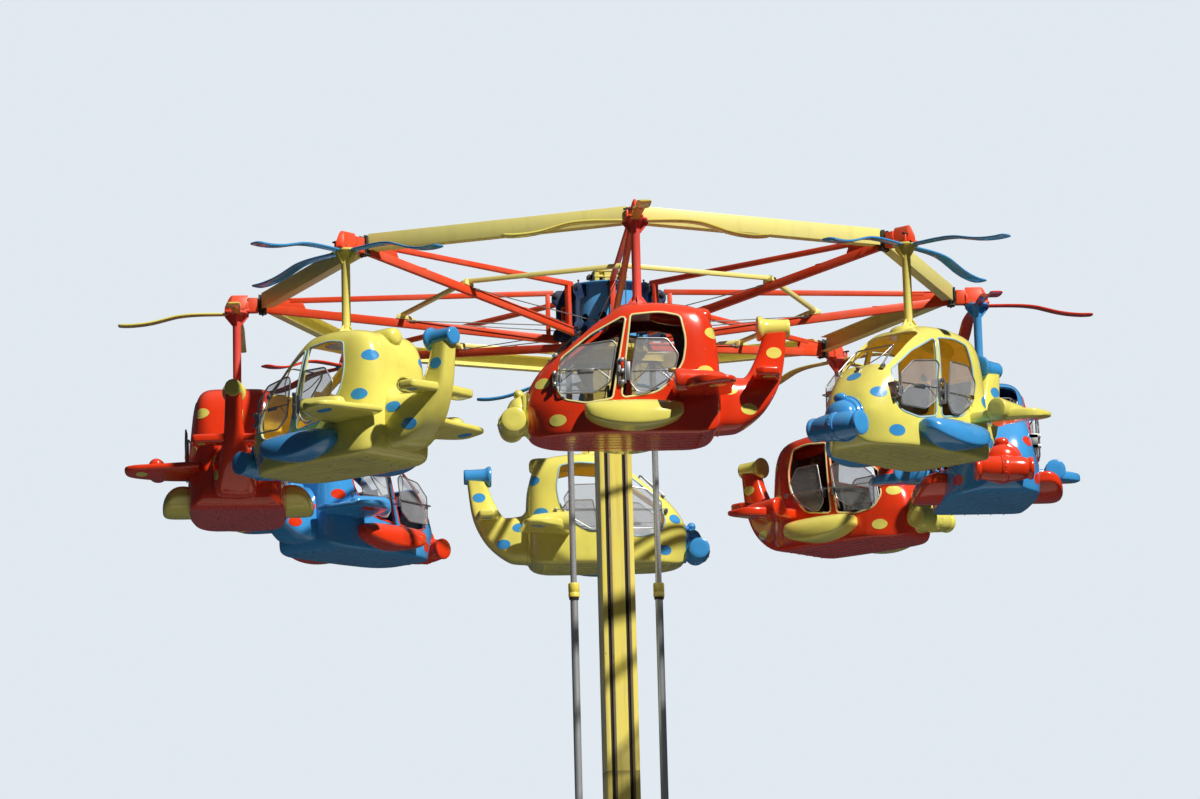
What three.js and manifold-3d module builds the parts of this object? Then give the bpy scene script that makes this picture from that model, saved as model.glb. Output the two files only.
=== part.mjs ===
// Fairground tower ride: a square mast with two telescopic rams lifts a carriage, and a drum turns on
// that carriage with eight arms. A helicopter-shaped gondola hangs rigidly from the end of each arm.
// Millimetres, +Z up, origin on the ground in the middle of the mast's base flange.
// The ride stands raised. Gondola 1 is at the front (-Y) and the others follow anticlockwise from above.
import * as THREE from "three";
import { mergeVertices } from "three/addons/utils/BufferGeometryUtils.js";
import Module from "manifold-3d";

const wasm = await Module();
wasm.setup();

const GAP = 0.3;

const MAST_TURN = THREE.MathUtils.degToRad(5);
const MAST_SIDE = 370;
const MAST_TOP = 11600;
const GROOVE_OFFSET = 100;
const GROOVE_WIDTH = 62;
const GROOVE_DEPTH = 22;
const BASE_LENGTH = 1500;
const BASE_WIDTH = 900;
const BASE_THICK = 40;

const RAM_OFFSET = 480;
const RAM_SIDES = 12;
const RUNNING = 0.5;
const ROD_RADIUS = 35;
const STAGE_2_RADIUS = 43;
const STAGE_1_RADIUS = 53;
const BARREL_TOP = 2715;
const STAGE_1_TOP = 5345;
const STAGE_2_TOP = 8040;
const CROSSHEAD_BOTTOM = 10550;

const RING_TOP = 10790;
const DRUM_RADIUS = 430;
const DRUM_WALL = 26;
const DRUM_TOP = 11500;
const LUG_END = 640;

const ARM_COUNT = 8;
const ARM_ROOT = LUG_END + GAP;
const HANG_RADIUS = 4200;
const CHORD_RISE = 0.121;
const CHORD_DEPTH = 92;
const CHORD_WIDTH = 84;
const CHORD_HALF = (CHORD_DEPTH / 2) * Math.hypot(1, CHORD_RISE);
const ARM_END_INNER = 3960;
const ARM_END_OUTER = 4340;
const ARM_END_BOTTOM = 11180;
const ARM_END_TOP = 11350;
const FASCIA_RADIUS = 3925;
const FASCIA_BOTTOM = 11215;
const FASCIA_HEIGHT = 150;
const FASCIA_THICK = 42;
const TIE_RADIUS = 2340;
const TIE_HEIGHT = 11132;

const POLE_RADIUS = 47;
const FLANGE_RADIUS = 138;
const ROOF_PAD_TOP = 10262;
const BARE_SIDE = 4;

const RED = "#e8401c";
const YELLOW = "#f2e46a";
const BLUE = "#5cb3e6";
const BODY_COLOURS = [RED, YELLOW, BLUE, RED, YELLOW, BLUE, RED, YELLOW];

const group = new THREE.Group();

// A closed manifold solid from any closed three.js geometry.
function solid(geometry) {
  const bare = geometry.clone();
  bare.deleteAttribute("normal");
  bare.deleteAttribute("uv");
  const merged = mergeVertices(bare, 0.01);
  const index = merged.index.array;
  const kept = [];
  for (let i = 0; i < index.length; i += 3) {
    const [a, b, c] = [index[i], index[i + 1], index[i + 2]];
    if (a !== b && b !== c && a !== c) kept.push(a, b, c);
  }
  const mesh = new wasm.Mesh({
    numProp: 3,
    vertProperties: new Float32Array(merged.attributes.position.array),
    triVerts: new Uint32Array(kept),
  });
  return new wasm.Manifold(mesh);
}

function join(pieces) {
  return pieces.reduce((whole, piece) => whole.add(piece));
}

function box(x0, x1, y0, y1, z0, z1) {
  const geometry = new THREE.BoxGeometry(x1 - x0, y1 - y0, z1 - z0);
  geometry.translate((x0 + x1) / 2, (y0 + y1) / 2, (z0 + z1) / 2);
  return solid(geometry);
}

// An upright cylinder, cone or frustum between two heights.
function upright(radius0, radius1, z0, z1, sides, x = 0, y = 0) {
  const geometry = new THREE.CylinderGeometry(radius1, radius0, z1 - z0, sides);
  geometry.rotateX(Math.PI / 2);
  geometry.translate(x, y, (z0 + z1) / 2);
  return solid(geometry);
}

// A ring section turned around the Z axis, from [radius, height] corners.
function turned(corners, sides) {
  const points = corners.map(([radius, height]) => new THREE.Vector2(radius, height));
  if (corners[0][0] > 0) points.push(points[0].clone());
  const geometry = new THREE.LatheGeometry(points, sides);
  geometry.rotateX(Math.PI / 2);
  return solid(geometry);
}

// A square or round bar between two points.
function bar(a, b, width, depth, sides = 4) {
  const from = new THREE.Vector3(...a);
  const to = new THREE.Vector3(...b);
  const along = to.clone().sub(from);
  const length = along.length();
  const geometry = sides === 4
    ? new THREE.BoxGeometry(length, width, depth)
    : new THREE.CylinderGeometry(width / 2, depth / 2, length, sides).rotateZ(-Math.PI / 2);
  along.normalize();
  const up = Math.abs(along.z) > 0.9 ? new THREE.Vector3(1, 0, 0) : new THREE.Vector3(0, 0, 1);
  const side = up.clone().cross(along).normalize();
  const top = along.clone().cross(side);
  geometry.applyMatrix4(new THREE.Matrix4().makeBasis(along, side, top));
  const middle = from.add(to).multiplyScalar(0.5);
  geometry.translate(middle.x, middle.y, middle.z);
  return solid(geometry);
}

// A plate cut to an outline in the XZ plane, between two Y values.
function sidePlate(outline, y0, y1) {
  const shape = new THREE.Shape(outline.map(([x, z]) => new THREE.Vector2(x, z)));
  const geometry = new THREE.ExtrudeGeometry(shape, { depth: y1 - y0, bevelEnabled: false });
  geometry.rotateX(Math.PI / 2);
  geometry.translate(0, y1, 0);
  return solid(geometry);
}

// A plate cut to an outline in the XY plane, between two Z values.
function flatPlate(outline, z0, z1) {
  const shape = new THREE.Shape(outline.map(([x, y]) => new THREE.Vector2(x, y)));
  const geometry = new THREE.ExtrudeGeometry(shape, { depth: z1 - z0, bevelEnabled: false });
  geometry.translate(0, 0, z0);
  return solid(geometry);
}

// A moulding through oval sections. Each section runs from a lower to an upper point [x, z] in the
// middle plane and has a half-width; n and m square its sides and its top off.
function moulding(sections, sides) {
  const last = sections.length - 1;
  const geometry = new THREE.CylinderGeometry(1, 1, 1, sides, last);
  const position = geometry.attributes.position;
  for (let i = 0; i < position.count; i += 1) {
    const row = Math.round((0.5 - position.getY(i)) * last);
    const { low, high, half, n = 2.6, m = 2.6 } = sections[row];
    const sine = position.getX(i);
    const cosine = position.getZ(i);
    const rise = Math.sign(sine) * Math.abs(sine) ** (2 / m);
    const out = Math.sign(cosine) * Math.abs(cosine) ** (2 / n);
    position.setXYZ(
      i,
      (low[0] + high[0]) / 2 + (rise * (high[0] - low[0])) / 2,
      out * half,
      (low[1] + high[1]) / 2 + (rise * (high[1] - low[1])) / 2,
    );
  }
  return solid(geometry);
}

function ellipsoid(x, y, z, a, b, c, around, down) {
  const geometry = new THREE.SphereGeometry(1, around, down);
  geometry.rotateX(Math.PI / 2);
  geometry.scale(a, b, c);
  geometry.translate(x, y, z);
  return solid(geometry);
}

function turnedBy(piece, angle) {
  return piece.rotate([0, 0, THREE.MathUtils.radToDeg(angle)]);
}

// A finished piece becomes a named mesh, turned and moved to its place.
function addPiece(name, piece, colour, finish, turn = 0, x = 0, y = 0) {
  const { vertProperties, triVerts, numProp } = piece.getMesh();
  const positions = new Float32Array((vertProperties.length / numProp) * 3);
  for (let i = 0; i < positions.length / 3; i += 1) {
    for (let axis = 0; axis < 3; axis += 1) {
      positions[i * 3 + axis] = vertProperties[i * numProp + axis];
    }
  }
  const geometry = new THREE.BufferGeometry();
  geometry.setAttribute("position", new THREE.BufferAttribute(positions, 3));
  geometry.setIndex(Array.from(triVerts));
  geometry.computeVertexNormals();
  const [roughness, metalness] = finish;
  const material = new THREE.MeshStandardMaterial({ color: colour, roughness, metalness });
  const mesh = new THREE.Mesh(geometry, material);
  mesh.name = name;
  mesh.rotation.z = turn;
  mesh.position.set(x, y, 0);
  group.add(mesh);
}

const PAINT = [0.4, 0.1];
const GELCOAT = [0.25, 0];
const STEEL = [0.3, 0.9];

// Base flange bolted to the ground, with upright gussets against the mast's faces.
function baseFrame() {
  const half = MAST_SIDE / 2 + GAP;
  const pieces = [
    box(-BASE_LENGTH / 2, BASE_LENGTH / 2, -BASE_WIDTH / 2, BASE_WIDTH / 2, 0, BASE_THICK),
  ];
  const outline = [[half, BASE_THICK - 1], [half + 180, BASE_THICK - 1], [half + 180, 90], [half, 420]];
  for (let quarter = 0; quarter < 4; quarter += 1) {
    for (const side of [-120, 120]) {
      pieces.push(turnedBy(sidePlate(outline, side - 8, side + 8), (quarter * Math.PI) / 2));
    }
  }
  return join(pieces);
}

// Square mast with two guide grooves in its front and back faces and a lid on top.
function mastColumn() {
  const half = MAST_SIDE / 2;
  let column = box(-half, half, -half, half, BASE_THICK + GAP, MAST_TOP - 20);
  for (const x of [-GROOVE_OFFSET, GROOVE_OFFSET]) {
    for (const side of [-1, 1]) {
      const inner = side * (half - GROOVE_DEPTH);
      const outer = side * (half + 10);
      const groove = box(
        x - GROOVE_WIDTH / 2,
        x + GROOVE_WIDTH / 2,
        Math.min(inner, outer),
        Math.max(inner, outer),
        420,
        MAST_TOP - 90,
      );
      column = column.subtract(groove);
    }
  }
  const lid = box(-half - 8, half + 8, -half - 8, half + 8, MAST_TOP - 21, MAST_TOP);
  const stop = box(-half - 62, -half + 1, -40, 40, MAST_TOP - 86, MAST_TOP - 40);
  return join([column, lid, stop]);
}

// One tube of a telescopic ram with a thicker gland collar at its top, open at the top.
function ramTube(outer, bore, top, collarRadius, collarHeight, bottom) {
  const collarBottom = top - collarHeight;
  return turned(
    [
      [bore, bottom],
      [outer, bottom],
      [outer, collarBottom],
      [collarRadius, collarBottom],
      [collarRadius, top],
      [bore, top],
    ],
    RAM_SIDES,
  );
}

function ramBarrel() {
  const bottom = BASE_THICK + GAP;
  const tube = ramTube(64, STAGE_1_RADIUS + RUNNING, BARREL_TOP, 86, 150, bottom);
  const foot = turned([[60, bottom], [125, bottom], [125, 70], [60, 70]], RAM_SIDES);
  return tube.add(foot);
}

// Lifting carriage: a square sleeve around the mast, a round seat plate and the rams' crosshead.
function carriage() {
  const seatTop = RING_TOP - 90;
  const sleeve = box(-240, 240, -240, 240, 9960, 11230);
  const seat = upright(425, 425, seatTop - 45, seatTop, 24);
  const crosshead = box(-590, 590, -110, 110, CROSSHEAD_BOTTOM, seatTop - 44);
  const braceLow = CROSSHEAD_BOTTOM - 330;
  const pieces = [sleeve, seat, crosshead];
  for (const side of [-1, 1]) {
    const outline = [
      [side * 239, braceLow],
      [side * 420, CROSSHEAD_BOTTOM - 20],
      [side * 420, CROSSHEAD_BOTTOM + 1],
      [side * 239, CROSSHEAD_BOTTOM + 1],
    ];
    pieces.push(sidePlate(outline, -96, -80));
    pieces.push(sidePlate(outline, 80, 96));
  }
  const clearance = MAST_SIDE / 2 + 9;
  return join(pieces).subtract(box(-clearance, clearance, -clearance, clearance, 9000, 12000));
}

function ramRod() {
  return turned(
    [
      [0, CROSSHEAD_BOTTOM - 2780],
      [ROD_RADIUS, CROSSHEAD_BOTTOM - 2780],
      [ROD_RADIUS, CROSSHEAD_BOTTOM - GAP],
      [0, CROSSHEAD_BOTTOM - GAP],
    ],
    RAM_SIDES,
  );
}

// Turning hub: a drum with a top flange and root lugs for the arms.
function hubDrum() {
  const inner = DRUM_RADIUS - DRUM_WALL;
  const drum = turned(
    [
      [360, RING_TOP + GAP],
      [DRUM_RADIUS, RING_TOP + GAP],
      [DRUM_RADIUS, DRUM_TOP - 24],
      [DRUM_RADIUS + 9, DRUM_TOP - 24],
      [DRUM_RADIUS + 9, DRUM_TOP],
      [inner, DRUM_TOP],
      [inner, RING_TOP + 28],
      [360, RING_TOP + 28],
    ],
    24,
  );
  const lugs = [];
  const cheek = [
    [inner + 12, 11446],
    [LUG_END - 40, 11446],
    [LUG_END, 11400],
    [LUG_END, 11290],
    [inner + 12, 11270],
  ];
  const foot = [
    [inner + 12, 10925],
    [LUG_END, 10890],
    [LUG_END, 10800],
    [inner + 12, 10800],
  ];
  for (let k = 0; k < ARM_COUNT; k += 1) {
    const azimuth = -Math.PI / 2 + (k * 2 * Math.PI) / ARM_COUNT;
    lugs.push(turnedBy(sidePlate(cheek, -32, 32), azimuth));
    lugs.push(turnedBy(sidePlate(foot, -32, 32), azimuth));
  }
  return join([drum, ...lugs]);
}

// Height of the lower chord's centre line, which rises outward along the arm.
function chordHeight(radius) {
  return 10832 + (radius - 650) * CHORD_RISE;
}

// Truss arm along +X: a deep lower chord that rises outward, a thin level upper chord, a root post
// and the open bracket at the tip that the hanger bolts up to.
function armFrame() {
  const lower = bar([ARM_ROOT + 6, 0, chordHeight(ARM_ROOT + 6)], [3990, 0, chordHeight(3990)], CHORD_WIDTH, CHORD_DEPTH);
  const upper = bar([ARM_ROOT + 6, 0, 11368], [3600, 0, 11312], 52, 52);
  const post = box(ARM_ROOT, ARM_ROOT + 50, -40, 40, 10790, 11392);
  const wedge = sidePlate([[3420, 11180], [ARM_END_INNER + 20, 11240], [ARM_END_INNER + 20, 11335], [3480, 11335]], -24, 24);
  const tip = box(ARM_END_INNER, ARM_END_OUTER, -78, 78, ARM_END_BOTTOM, ARM_END_TOP);
  const pocket = box(4070, 4312, 22, 90, ARM_END_BOTTOM + 22, ARM_END_TOP - 20);
  const otherPocket = box(4070, 4312, -90, -22, ARM_END_BOTTOM + 22, ARM_END_TOP - 20);
  const endPlate = box(ARM_END_OUTER - 14, ARM_END_OUTER, -90, 90, ARM_END_BOTTOM, ARM_END_TOP + 26);
  return join([lower, upper, post, wedge, tip, endPlate]).subtract(pocket).subtract(otherPocket);
}

// Outer octagon of flat boards between the arm ends, linked by bolt plates under the arms.
function fasciaRing() {
  const pieces = [];
  const half = Math.PI / ARM_COUNT;
  const top = FASCIA_BOTTOM + FASCIA_HEIGHT;
  const middle = FASCIA_RADIUS * Math.cos(half);
  const reach = FASCIA_RADIUS * Math.sin(half) - 60;
  for (let k = 0; k < ARM_COUNT; k += 1) {
    const azimuth = -Math.PI / 2 + (k * 2 * Math.PI) / ARM_COUNT;
    const board = box(middle - FASCIA_THICK / 2, middle + FASCIA_THICK / 2, -reach, reach, FASCIA_BOTTOM, top);
    pieces.push(turnedBy(board, azimuth + half));
    const seat = chordHeight(FASCIA_RADIUS - 56) - CHORD_HALF - GAP;
    const strap = [
      [-150, seat - 14],
      [150, seat - 14],
      [150, FASCIA_BOTTOM + 40],
      [52, FASCIA_BOTTOM + 40],
      [52, seat],
      [-52, seat],
      [-52, FASCIA_BOTTOM + 40],
      [-150, FASCIA_BOTTOM + 40],
    ];
    const link = sidePlate(strap, -(FASCIA_RADIUS + 24), -(FASCIA_RADIUS - 56));
    pieces.push(turnedBy(link, azimuth + Math.PI / 2));
  }
  return join(pieces);
}

// Inner octagon of thin tube that lies on the arms' lower chords, on a small clamp at each arm.
function tieRing() {
  const pieces = [];
  const step = (2 * Math.PI) / ARM_COUNT;
  const corner = (k) => {
    const azimuth = -Math.PI / 2 + k * step;
    return [TIE_RADIUS * Math.cos(azimuth), TIE_RADIUS * Math.sin(azimuth), TIE_HEIGHT];
  };
  for (let k = 0; k < ARM_COUNT; k += 1) {
    pieces.push(bar(corner(k), corner(k + 1), 50, 50, 6));
    const seat = (radius) => chordHeight(radius) + CHORD_HALF + GAP;
    const clamp = [
      [TIE_RADIUS - 70, seat(TIE_RADIUS - 70)],
      [TIE_RADIUS + 70, seat(TIE_RADIUS + 70)],
      [TIE_RADIUS + 60, TIE_HEIGHT + 4],
      [TIE_RADIUS - 60, TIE_HEIGHT + 4],
    ];
    pieces.push(turnedBy(sidePlate(clamp, -36, 36), -Math.PI / 2 + k * step));
  }
  return join(pieces);
}

// Hanger: pole with gusseted flanges, and the three ornamental blades clamped under the arm's end.
function hanger() {
  const top = ARM_END_BOTTOM - GAP;
  const hub = top - 32;
  const pieces = [
    turned(
      [
        [0, ROOF_PAD_TOP + GAP],
        [110, ROOF_PAD_TOP + GAP],
        [110, ROOF_PAD_TOP + 22],
        [POLE_RADIUS, ROOF_PAD_TOP + 120],
        [POLE_RADIUS, hub - 150],
        [FLANGE_RADIUS - 14, hub - 20],
        [FLANGE_RADIUS, hub - 20],
        [FLANGE_RADIUS, top],
        [0, top],
      ],
      12,
    ),
  ];
  const drop = [[100, 0], [460, 0], [640, -16], [960, -140], [1130, -182], [1330, -176]];
  const outline = [
    ...drop.map(([x, z]) => [x, top - 1 + z]),
    ...drop.slice().reverse().map(([x, z]) => [x, top - 31 + z]),
  ];
  const plan = flatPlate([[90, -48], [1180, -72], [1331, -50], [1331, 50], [1180, 72], [90, 48]], top - 400, top + 100);
  const blade = sidePlate(outline, -80, 80).intersect(plan);
  for (const turn of [0, Math.PI / 2, Math.PI]) pieces.push(turnedBy(blade, turn));
  return join(pieces);
}

const HULL = [
  { x: 1152, low: 8920, high: 9370, half: 305, n: 2.6, m: 2.6 },
  { x: 900, low: 8845, high: 9705, half: 452, n: 2.8, m: 2.8 },
  { x: 370, low: 8835, high: 10150, half: 540, n: 3.0, m: 2.8 },
  { x: -400, low: 8835, high: 10236, half: 545, n: 3.0, m: 2.8 },
  { x: -680, low: 8865, high: 10160, half: 500, n: 2.8, m: 2.8 },
  { x: -785, low: 8950, high: 9920, half: 400, n: 2.6, m: 2.8 },
];

const CAVITY = [
  { x: 1000, low: 9000, high: 9500, half: 350, n: 2.8, m: 2.8 },
  { x: 330, low: 9000, high: 10090, half: 500, n: 3.0, m: 3.0 },
  { x: -400, low: 9000, high: 10180, half: 506, n: 3.0, m: 3.0 },
  { x: -680, low: 9000, high: 10060, half: 440, n: 2.8, m: 3.0 },
];

const TAIL = [
  { low: [-760, 8945], high: [-760, 9720], half: 390 },
  { low: [-1030, 9020], high: [-960, 9560], half: 300 },
  { low: [-1340, 9250], high: [-1110, 9590], half: 205 },
  { low: [-1485, 9570], high: [-1245, 9750], half: 138 },
  { low: [-1516, 9960], high: [-1284, 9940], half: 112 },
];

const FRONT_DOOR = [
  [160, 10062],
  [480, 9885],
  [850, 9620],
  [880, 9340],
  [700, 9185],
  [320, 9190],
];
const REAR_DOOR = [
  [100, 10080],
  [-390, 10075],
  [-430, 9830],
  [-400, 9590],
  [-160, 9270],
  [220, 9190],
];
const FRONT_GATE = [
  [790, 9625],
  [620, 9770],
  [300, 9802],
  [252, 9752],
  [320, 9362],
  [500, 9254],
  [830, 9260],
];
const REAR_GATE = [
  [70, 9818],
  [-250, 9812],
  [-368, 9640],
  [-300, 9410],
  [-40, 9252],
  [70, 9252],
  [148, 9360],
];
const GUARD = [
  [930, 9480],
  [930, 9520],
  [620, 9770],
  [-250, 9812],
  [-480, 9520],
  [-480, 9480],
  [-60, 9252],
  [820, 9260],
];
const GATE_THICK = 22;
const FRONT_HINGE = { x: 867, y: 486, turn: -7.5 };
const REAR_HINGE = { x: 184, y: 567, turn: 0 };
const BARREL = 11;

function atX(rows) {
  return rows.map(({ x, low, high, ...rest }) => ({ low: [x, low], high: [x, high], ...rest }));
}

// Gondola along +X, nose forward, outer side +Y, in the frame of its pole: a hollow hull with door and
// windscreen openings, tail moulding with its barrel, wings with cone nacelles, stub stabilisers, side
// floats, a barrel engine across the nose, seats inside and the fixed guards on the inner side.
// One gondola has lost the float on its inner side.
function cabin(hasInnerFloat) {
  const cavity = moulding(atX(CAVITY), 6);
  const hull = moulding(atX(HULL), 10);
  const pieces = [hull, moulding(TAIL, 6)];
  const wing = [
    [-400, 430],
    [-300, 1190],
    [-420, 1310],
    [-680, 1310],
    [-800, 1150],
    [-930, 430],
  ];
  for (const side of [-1, 1]) {
    pieces.push(flatPlate(wing.map(([x, y]) => [x, side * y]), 9222, 9290));
    pieces.push(bar([-292, side * 866, 9345], [-800, side * 866, 9330], 56, 176, 6));
    if (side > 0 || hasInnerFloat) pieces.push(ellipsoid(105, side * 600, 9008, 500, 250, 165, 6, 5));
  }
  const stub = [[-1130, -460], [-1250, -510], [-1395, -430], [-1395, 430], [-1250, 510], [-1130, 460]];
  pieces.push(flatPlate(stub, 9474, 9532));
  pieces.push(bar([-1300, 0, 10015], [-1585, 0, 10015], 150, 206, 8));
  pieces.push(bar([-1215, 0, 10012], [-1301, 0, 10015], 205, 256, 8));
  pieces.push(bar([-200, 0, 10170], [-745, 0, 10170], 180, 200, 6));
  const pad = [[350, 0], [280, 140], [-90, 150], [-190, 0], [-90, -150], [280, -140]];
  pieces.push(flatPlate(pad, 10150, ROOF_PAD_TOP));
  pieces.push(bar([1130, 0, 9145], [1212, 0, 9145], 480, 480, 8));
  pieces.push(bar([1312, -345, 9055], [1312, 345, 9055], 288, 288, 8));
  pieces.push(upright(110, 70, 9150, 9402, 6, 1262));
  const doors = join([sidePlate(FRONT_DOOR, -800, 800), sidePlate(REAR_DOOR, -800, 800)]);
  const screen = flatPlate([[-350, -330], [350, -300], [350, 300], [-350, 330]], -260, 260);
  const slope = screen.rotate([0, THREE.MathUtils.radToDeg(Math.atan2(420, 590)), 0]).translate([592, 0, 9912]);
  const nearHull = box(150, 1000, -600, 600, 9640, 10300);
  let body = join(pieces).subtract(cavity).subtract(slope.intersect(nearHull));
  const cutDoors = doors.intersect(box(-600, 1000, -640, 640, 9000, 10300));
  body = body.subtract(cutDoors);
  const fittings = [
    sidePlate([[-640, 8980], [-330, 8980], [-330, 9280], [-560, 9280], [-660, 9780]], -380, 380),
    sidePlate([[110, 8980], [420, 8980], [420, 9260], [200, 9260], [100, 9640]], -380, 380),
    sidePlate(GUARD, -584, -570),
    box(890, 930, -600, -380, 9480, 9520),
    box(-480, -440, -600, -480, 9480, 9520),
    box(FRONT_HINGE.x + BARREL + GAP, 925, 380, FRONT_HINGE.y + 13, 9340, 9500),
    box(REAR_HINGE.x + BARREL + GAP, 242, 480, REAR_HINGE.y + 13, 9340, 9610),
  ];
  return join([body, ...fittings]);
}

// Side gate: a tube rim around an acrylic panel with a middle bar and a hinge barrel on its front edge.
function gate(outline, hinge, hingeLow, hingeHigh) {
  const middleX = outline.reduce((sum, [x]) => sum + x, 0) / outline.length;
  const middleZ = outline.reduce((sum, [, z]) => sum + z, 0) / outline.length;
  const inner = outline.map(([x, z]) => [x + (middleX - x) * 0.09, z + (middleZ - z) * 0.09]);
  const outerFace = GATE_THICK / 2;
  const rim = sidePlate(outline, -outerFace, outerFace).subtract(sidePlate(inner, -1, outerFace + 5));
  const barrel = upright(BARREL, BARREL, hingeLow, hingeHigh, 8, hinge.x, 0);
  const tab = box(hinge.x - 70, hinge.x, -6, 6, hingeLow + 20, hingeHigh - 20);
  const shut = join([rim, barrel, tab]).translate([-hinge.x, 0, 0]).rotate([0, 0, hinge.turn]);
  return shut.translate([hinge.x, hinge.y, 0]);
}

addPiece("base_frame", baseFrame(), "#6b6f72", PAINT, MAST_TURN);
addPiece("mast", mastColumn(), "#efd93c", PAINT, MAST_TURN);
addPiece("carriage", carriage(), "#efd93c", PAINT, MAST_TURN);
for (const [name, side] of [["left", -1], ["right", 1]]) {
  const x = side * RAM_OFFSET * Math.cos(MAST_TURN);
  const y = side * RAM_OFFSET * Math.sin(MAST_TURN);
  const stage1 = ramTube(STAGE_1_RADIUS, STAGE_2_RADIUS + RUNNING, STAGE_1_TOP, 74, 120, STAGE_1_TOP - 2750);
  const stage2 = ramTube(STAGE_2_RADIUS, ROD_RADIUS + RUNNING, STAGE_2_TOP, 62, 185, STAGE_2_TOP - 2945);
  addPiece(`ram_barrel_${name}`, ramBarrel(), "#efd93c", PAINT, 0, x, y);
  addPiece(`ram_stage_1_${name}`, stage1, "#b9bcbe", STEEL, 0, x, y);
  addPiece(`ram_stage_2_${name}`, stage2, "#b9bcbe", STEEL, 0, x, y);
  addPiece(`ram_rod_${name}`, ramRod(), "#c4c8ca", STEEL, 0, x, y);
}
const ringBottom = RING_TOP - 90 + GAP;
const slewingRing = turned([[345, ringBottom], [425, ringBottom], [425, RING_TOP], [345, RING_TOP]], 24);
addPiece("slewing_ring", slewingRing, "#3c4045", STEEL);
addPiece("hub_drum", hubDrum(), "#2f7fd0", PAINT);
addPiece("fascia_ring", fasciaRing(), "#f0e178", PAINT);
addPiece("tie_ring", tieRing(), "#f0e178", PAINT);

for (let k = 0; k < ARM_COUNT; k += 1) {
  const azimuth = -Math.PI / 2 + (k * 2 * Math.PI) / ARM_COUNT;
  const x = HANG_RADIUS * Math.cos(azimuth);
  const y = HANG_RADIUS * Math.sin(azimuth);
  const turn = azimuth - Math.PI / 2;
  const colour = BODY_COLOURS[k];
  addPiece(`arm_${k + 1}`, armFrame(), "#f0512c", PAINT, azimuth);
  addPiece(`hanger_${k + 1}`, hanger(), colour, PAINT, turn, x, y);
  addPiece(`cabin_${k + 1}`, cabin(k !== BARE_SIDE), colour, GELCOAT, turn, x, y);
  addPiece(`front_gate_${k + 1}`, gate(FRONT_GATE, FRONT_HINGE, 9350, 9490), "#c9ced2", STEEL, turn, x, y);
  addPiece(`rear_gate_${k + 1}`, gate(REAR_GATE, REAR_HINGE, 9350, 9600), "#c9ced2", STEEL, turn, x, y);
}

export default group;
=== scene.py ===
import math

import bpy
import bmesh
import numpy as np
from mathutils import Matrix, Vector
from mathutils.bvhtree import BVHTree


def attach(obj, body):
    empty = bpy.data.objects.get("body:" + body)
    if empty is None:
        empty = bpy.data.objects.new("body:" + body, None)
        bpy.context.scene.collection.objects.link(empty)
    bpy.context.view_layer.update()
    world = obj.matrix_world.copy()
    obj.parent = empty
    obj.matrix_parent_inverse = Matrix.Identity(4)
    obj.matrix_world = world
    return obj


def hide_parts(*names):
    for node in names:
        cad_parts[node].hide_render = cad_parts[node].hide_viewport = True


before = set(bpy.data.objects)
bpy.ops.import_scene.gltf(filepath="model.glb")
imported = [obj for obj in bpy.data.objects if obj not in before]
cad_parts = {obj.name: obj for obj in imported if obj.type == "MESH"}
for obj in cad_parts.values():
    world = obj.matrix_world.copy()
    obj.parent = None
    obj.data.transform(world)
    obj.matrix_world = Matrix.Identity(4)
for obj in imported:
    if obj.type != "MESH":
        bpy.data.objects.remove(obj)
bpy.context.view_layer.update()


# View and light. A telephoto camera stands 43 m in front, below the gondolas, tipped up and a little
# out of level as the photograph is. A hard sun shines from the upper right, weak blue light comes from
# all round, and only the camera sees the pale backdrop.
def placed(name, data):
    made = bpy.data.objects.new(name, data)
    bpy.context.collection.objects.link(made)
    return made


def join_nodes(tree, kind, settings=None, inputs=None):
    """Adds a node: its settings first, then a value or a link for each named socket."""
    made = tree.nodes.new(kind)
    for key, value in (settings or {}).items():
        setattr(made, key, value)
    for key, value in (inputs or {}).items():
        value = getattr(value, "socket", value)
        if isinstance(value, bpy.types.NodeSocket):
            tree.links.new(value, made.inputs[key])
        else:
            made.inputs[key].default_value = value
    return made


lens = bpy.data.cameras.new("viewer")
lens.sensor_width, lens.lens, lens.clip_end = 36.0, 116.604, 400.0
EYE, BEARING, SUN_FROM = (-2.967, -42.877, 1.603), math.radians(-3.959), Vector((0.5, -0.62, 0.8))
PAN, TIP, TILT = -0.003, math.radians(11.2276), math.radians(-1.4774)
aim = Vector((math.sin(PAN) * math.cos(TIP), math.cos(PAN) * math.cos(TIP), math.sin(TIP)))
level = Vector((math.cos(PAN), -math.sin(PAN), 0.0))
upward = level.cross(aim)
right = math.cos(TILT) * level + math.sin(TILT) * upward
top = math.cos(TILT) * upward - math.sin(TILT) * level
stand = Matrix.Rotation(BEARING, 3, "Z") @ Matrix((right, top, -aim)).transposed()
viewer = placed("viewer", lens)
viewer.matrix_world = Matrix.Translation(EYE) @ stand.to_4x4()
bpy.context.scene.camera = viewer
bpy.context.scene.view_settings.view_transform = "Standard"

sun_lamp = bpy.data.lights.new("sun", "SUN")
sun_lamp.energy, sun_lamp.angle, sun_lamp.color = 4.7, math.radians(1.5), (1.0, 0.95, 0.86)
placed("sun", sun_lamp).rotation_euler = SUN_FROM.to_track_quat("Z", "Y").to_euler()
around_it = bpy.data.worlds.new("daylight")
around_it.use_nodes = True
daylight = around_it.node_tree.nodes["Background"]
daylight.inputs["Color"].default_value = (0.66, 0.82, 1.0, 1.0)
daylight.inputs["Strength"].default_value = 0.052
backdrop = join_nodes(around_it.node_tree, "ShaderNodeBackground", None,
                      {"Color": (0.8, 0.86, 0.92, 1.0), "Strength": 0.95})
seen = join_nodes(around_it.node_tree, "ShaderNodeLightPath").outputs["Is Camera Ray"]
either = join_nodes(around_it.node_tree, "ShaderNodeMixShader", None,
                    {0: seen, 1: daylight.outputs[0], 2: backdrop.outputs[0]})
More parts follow.
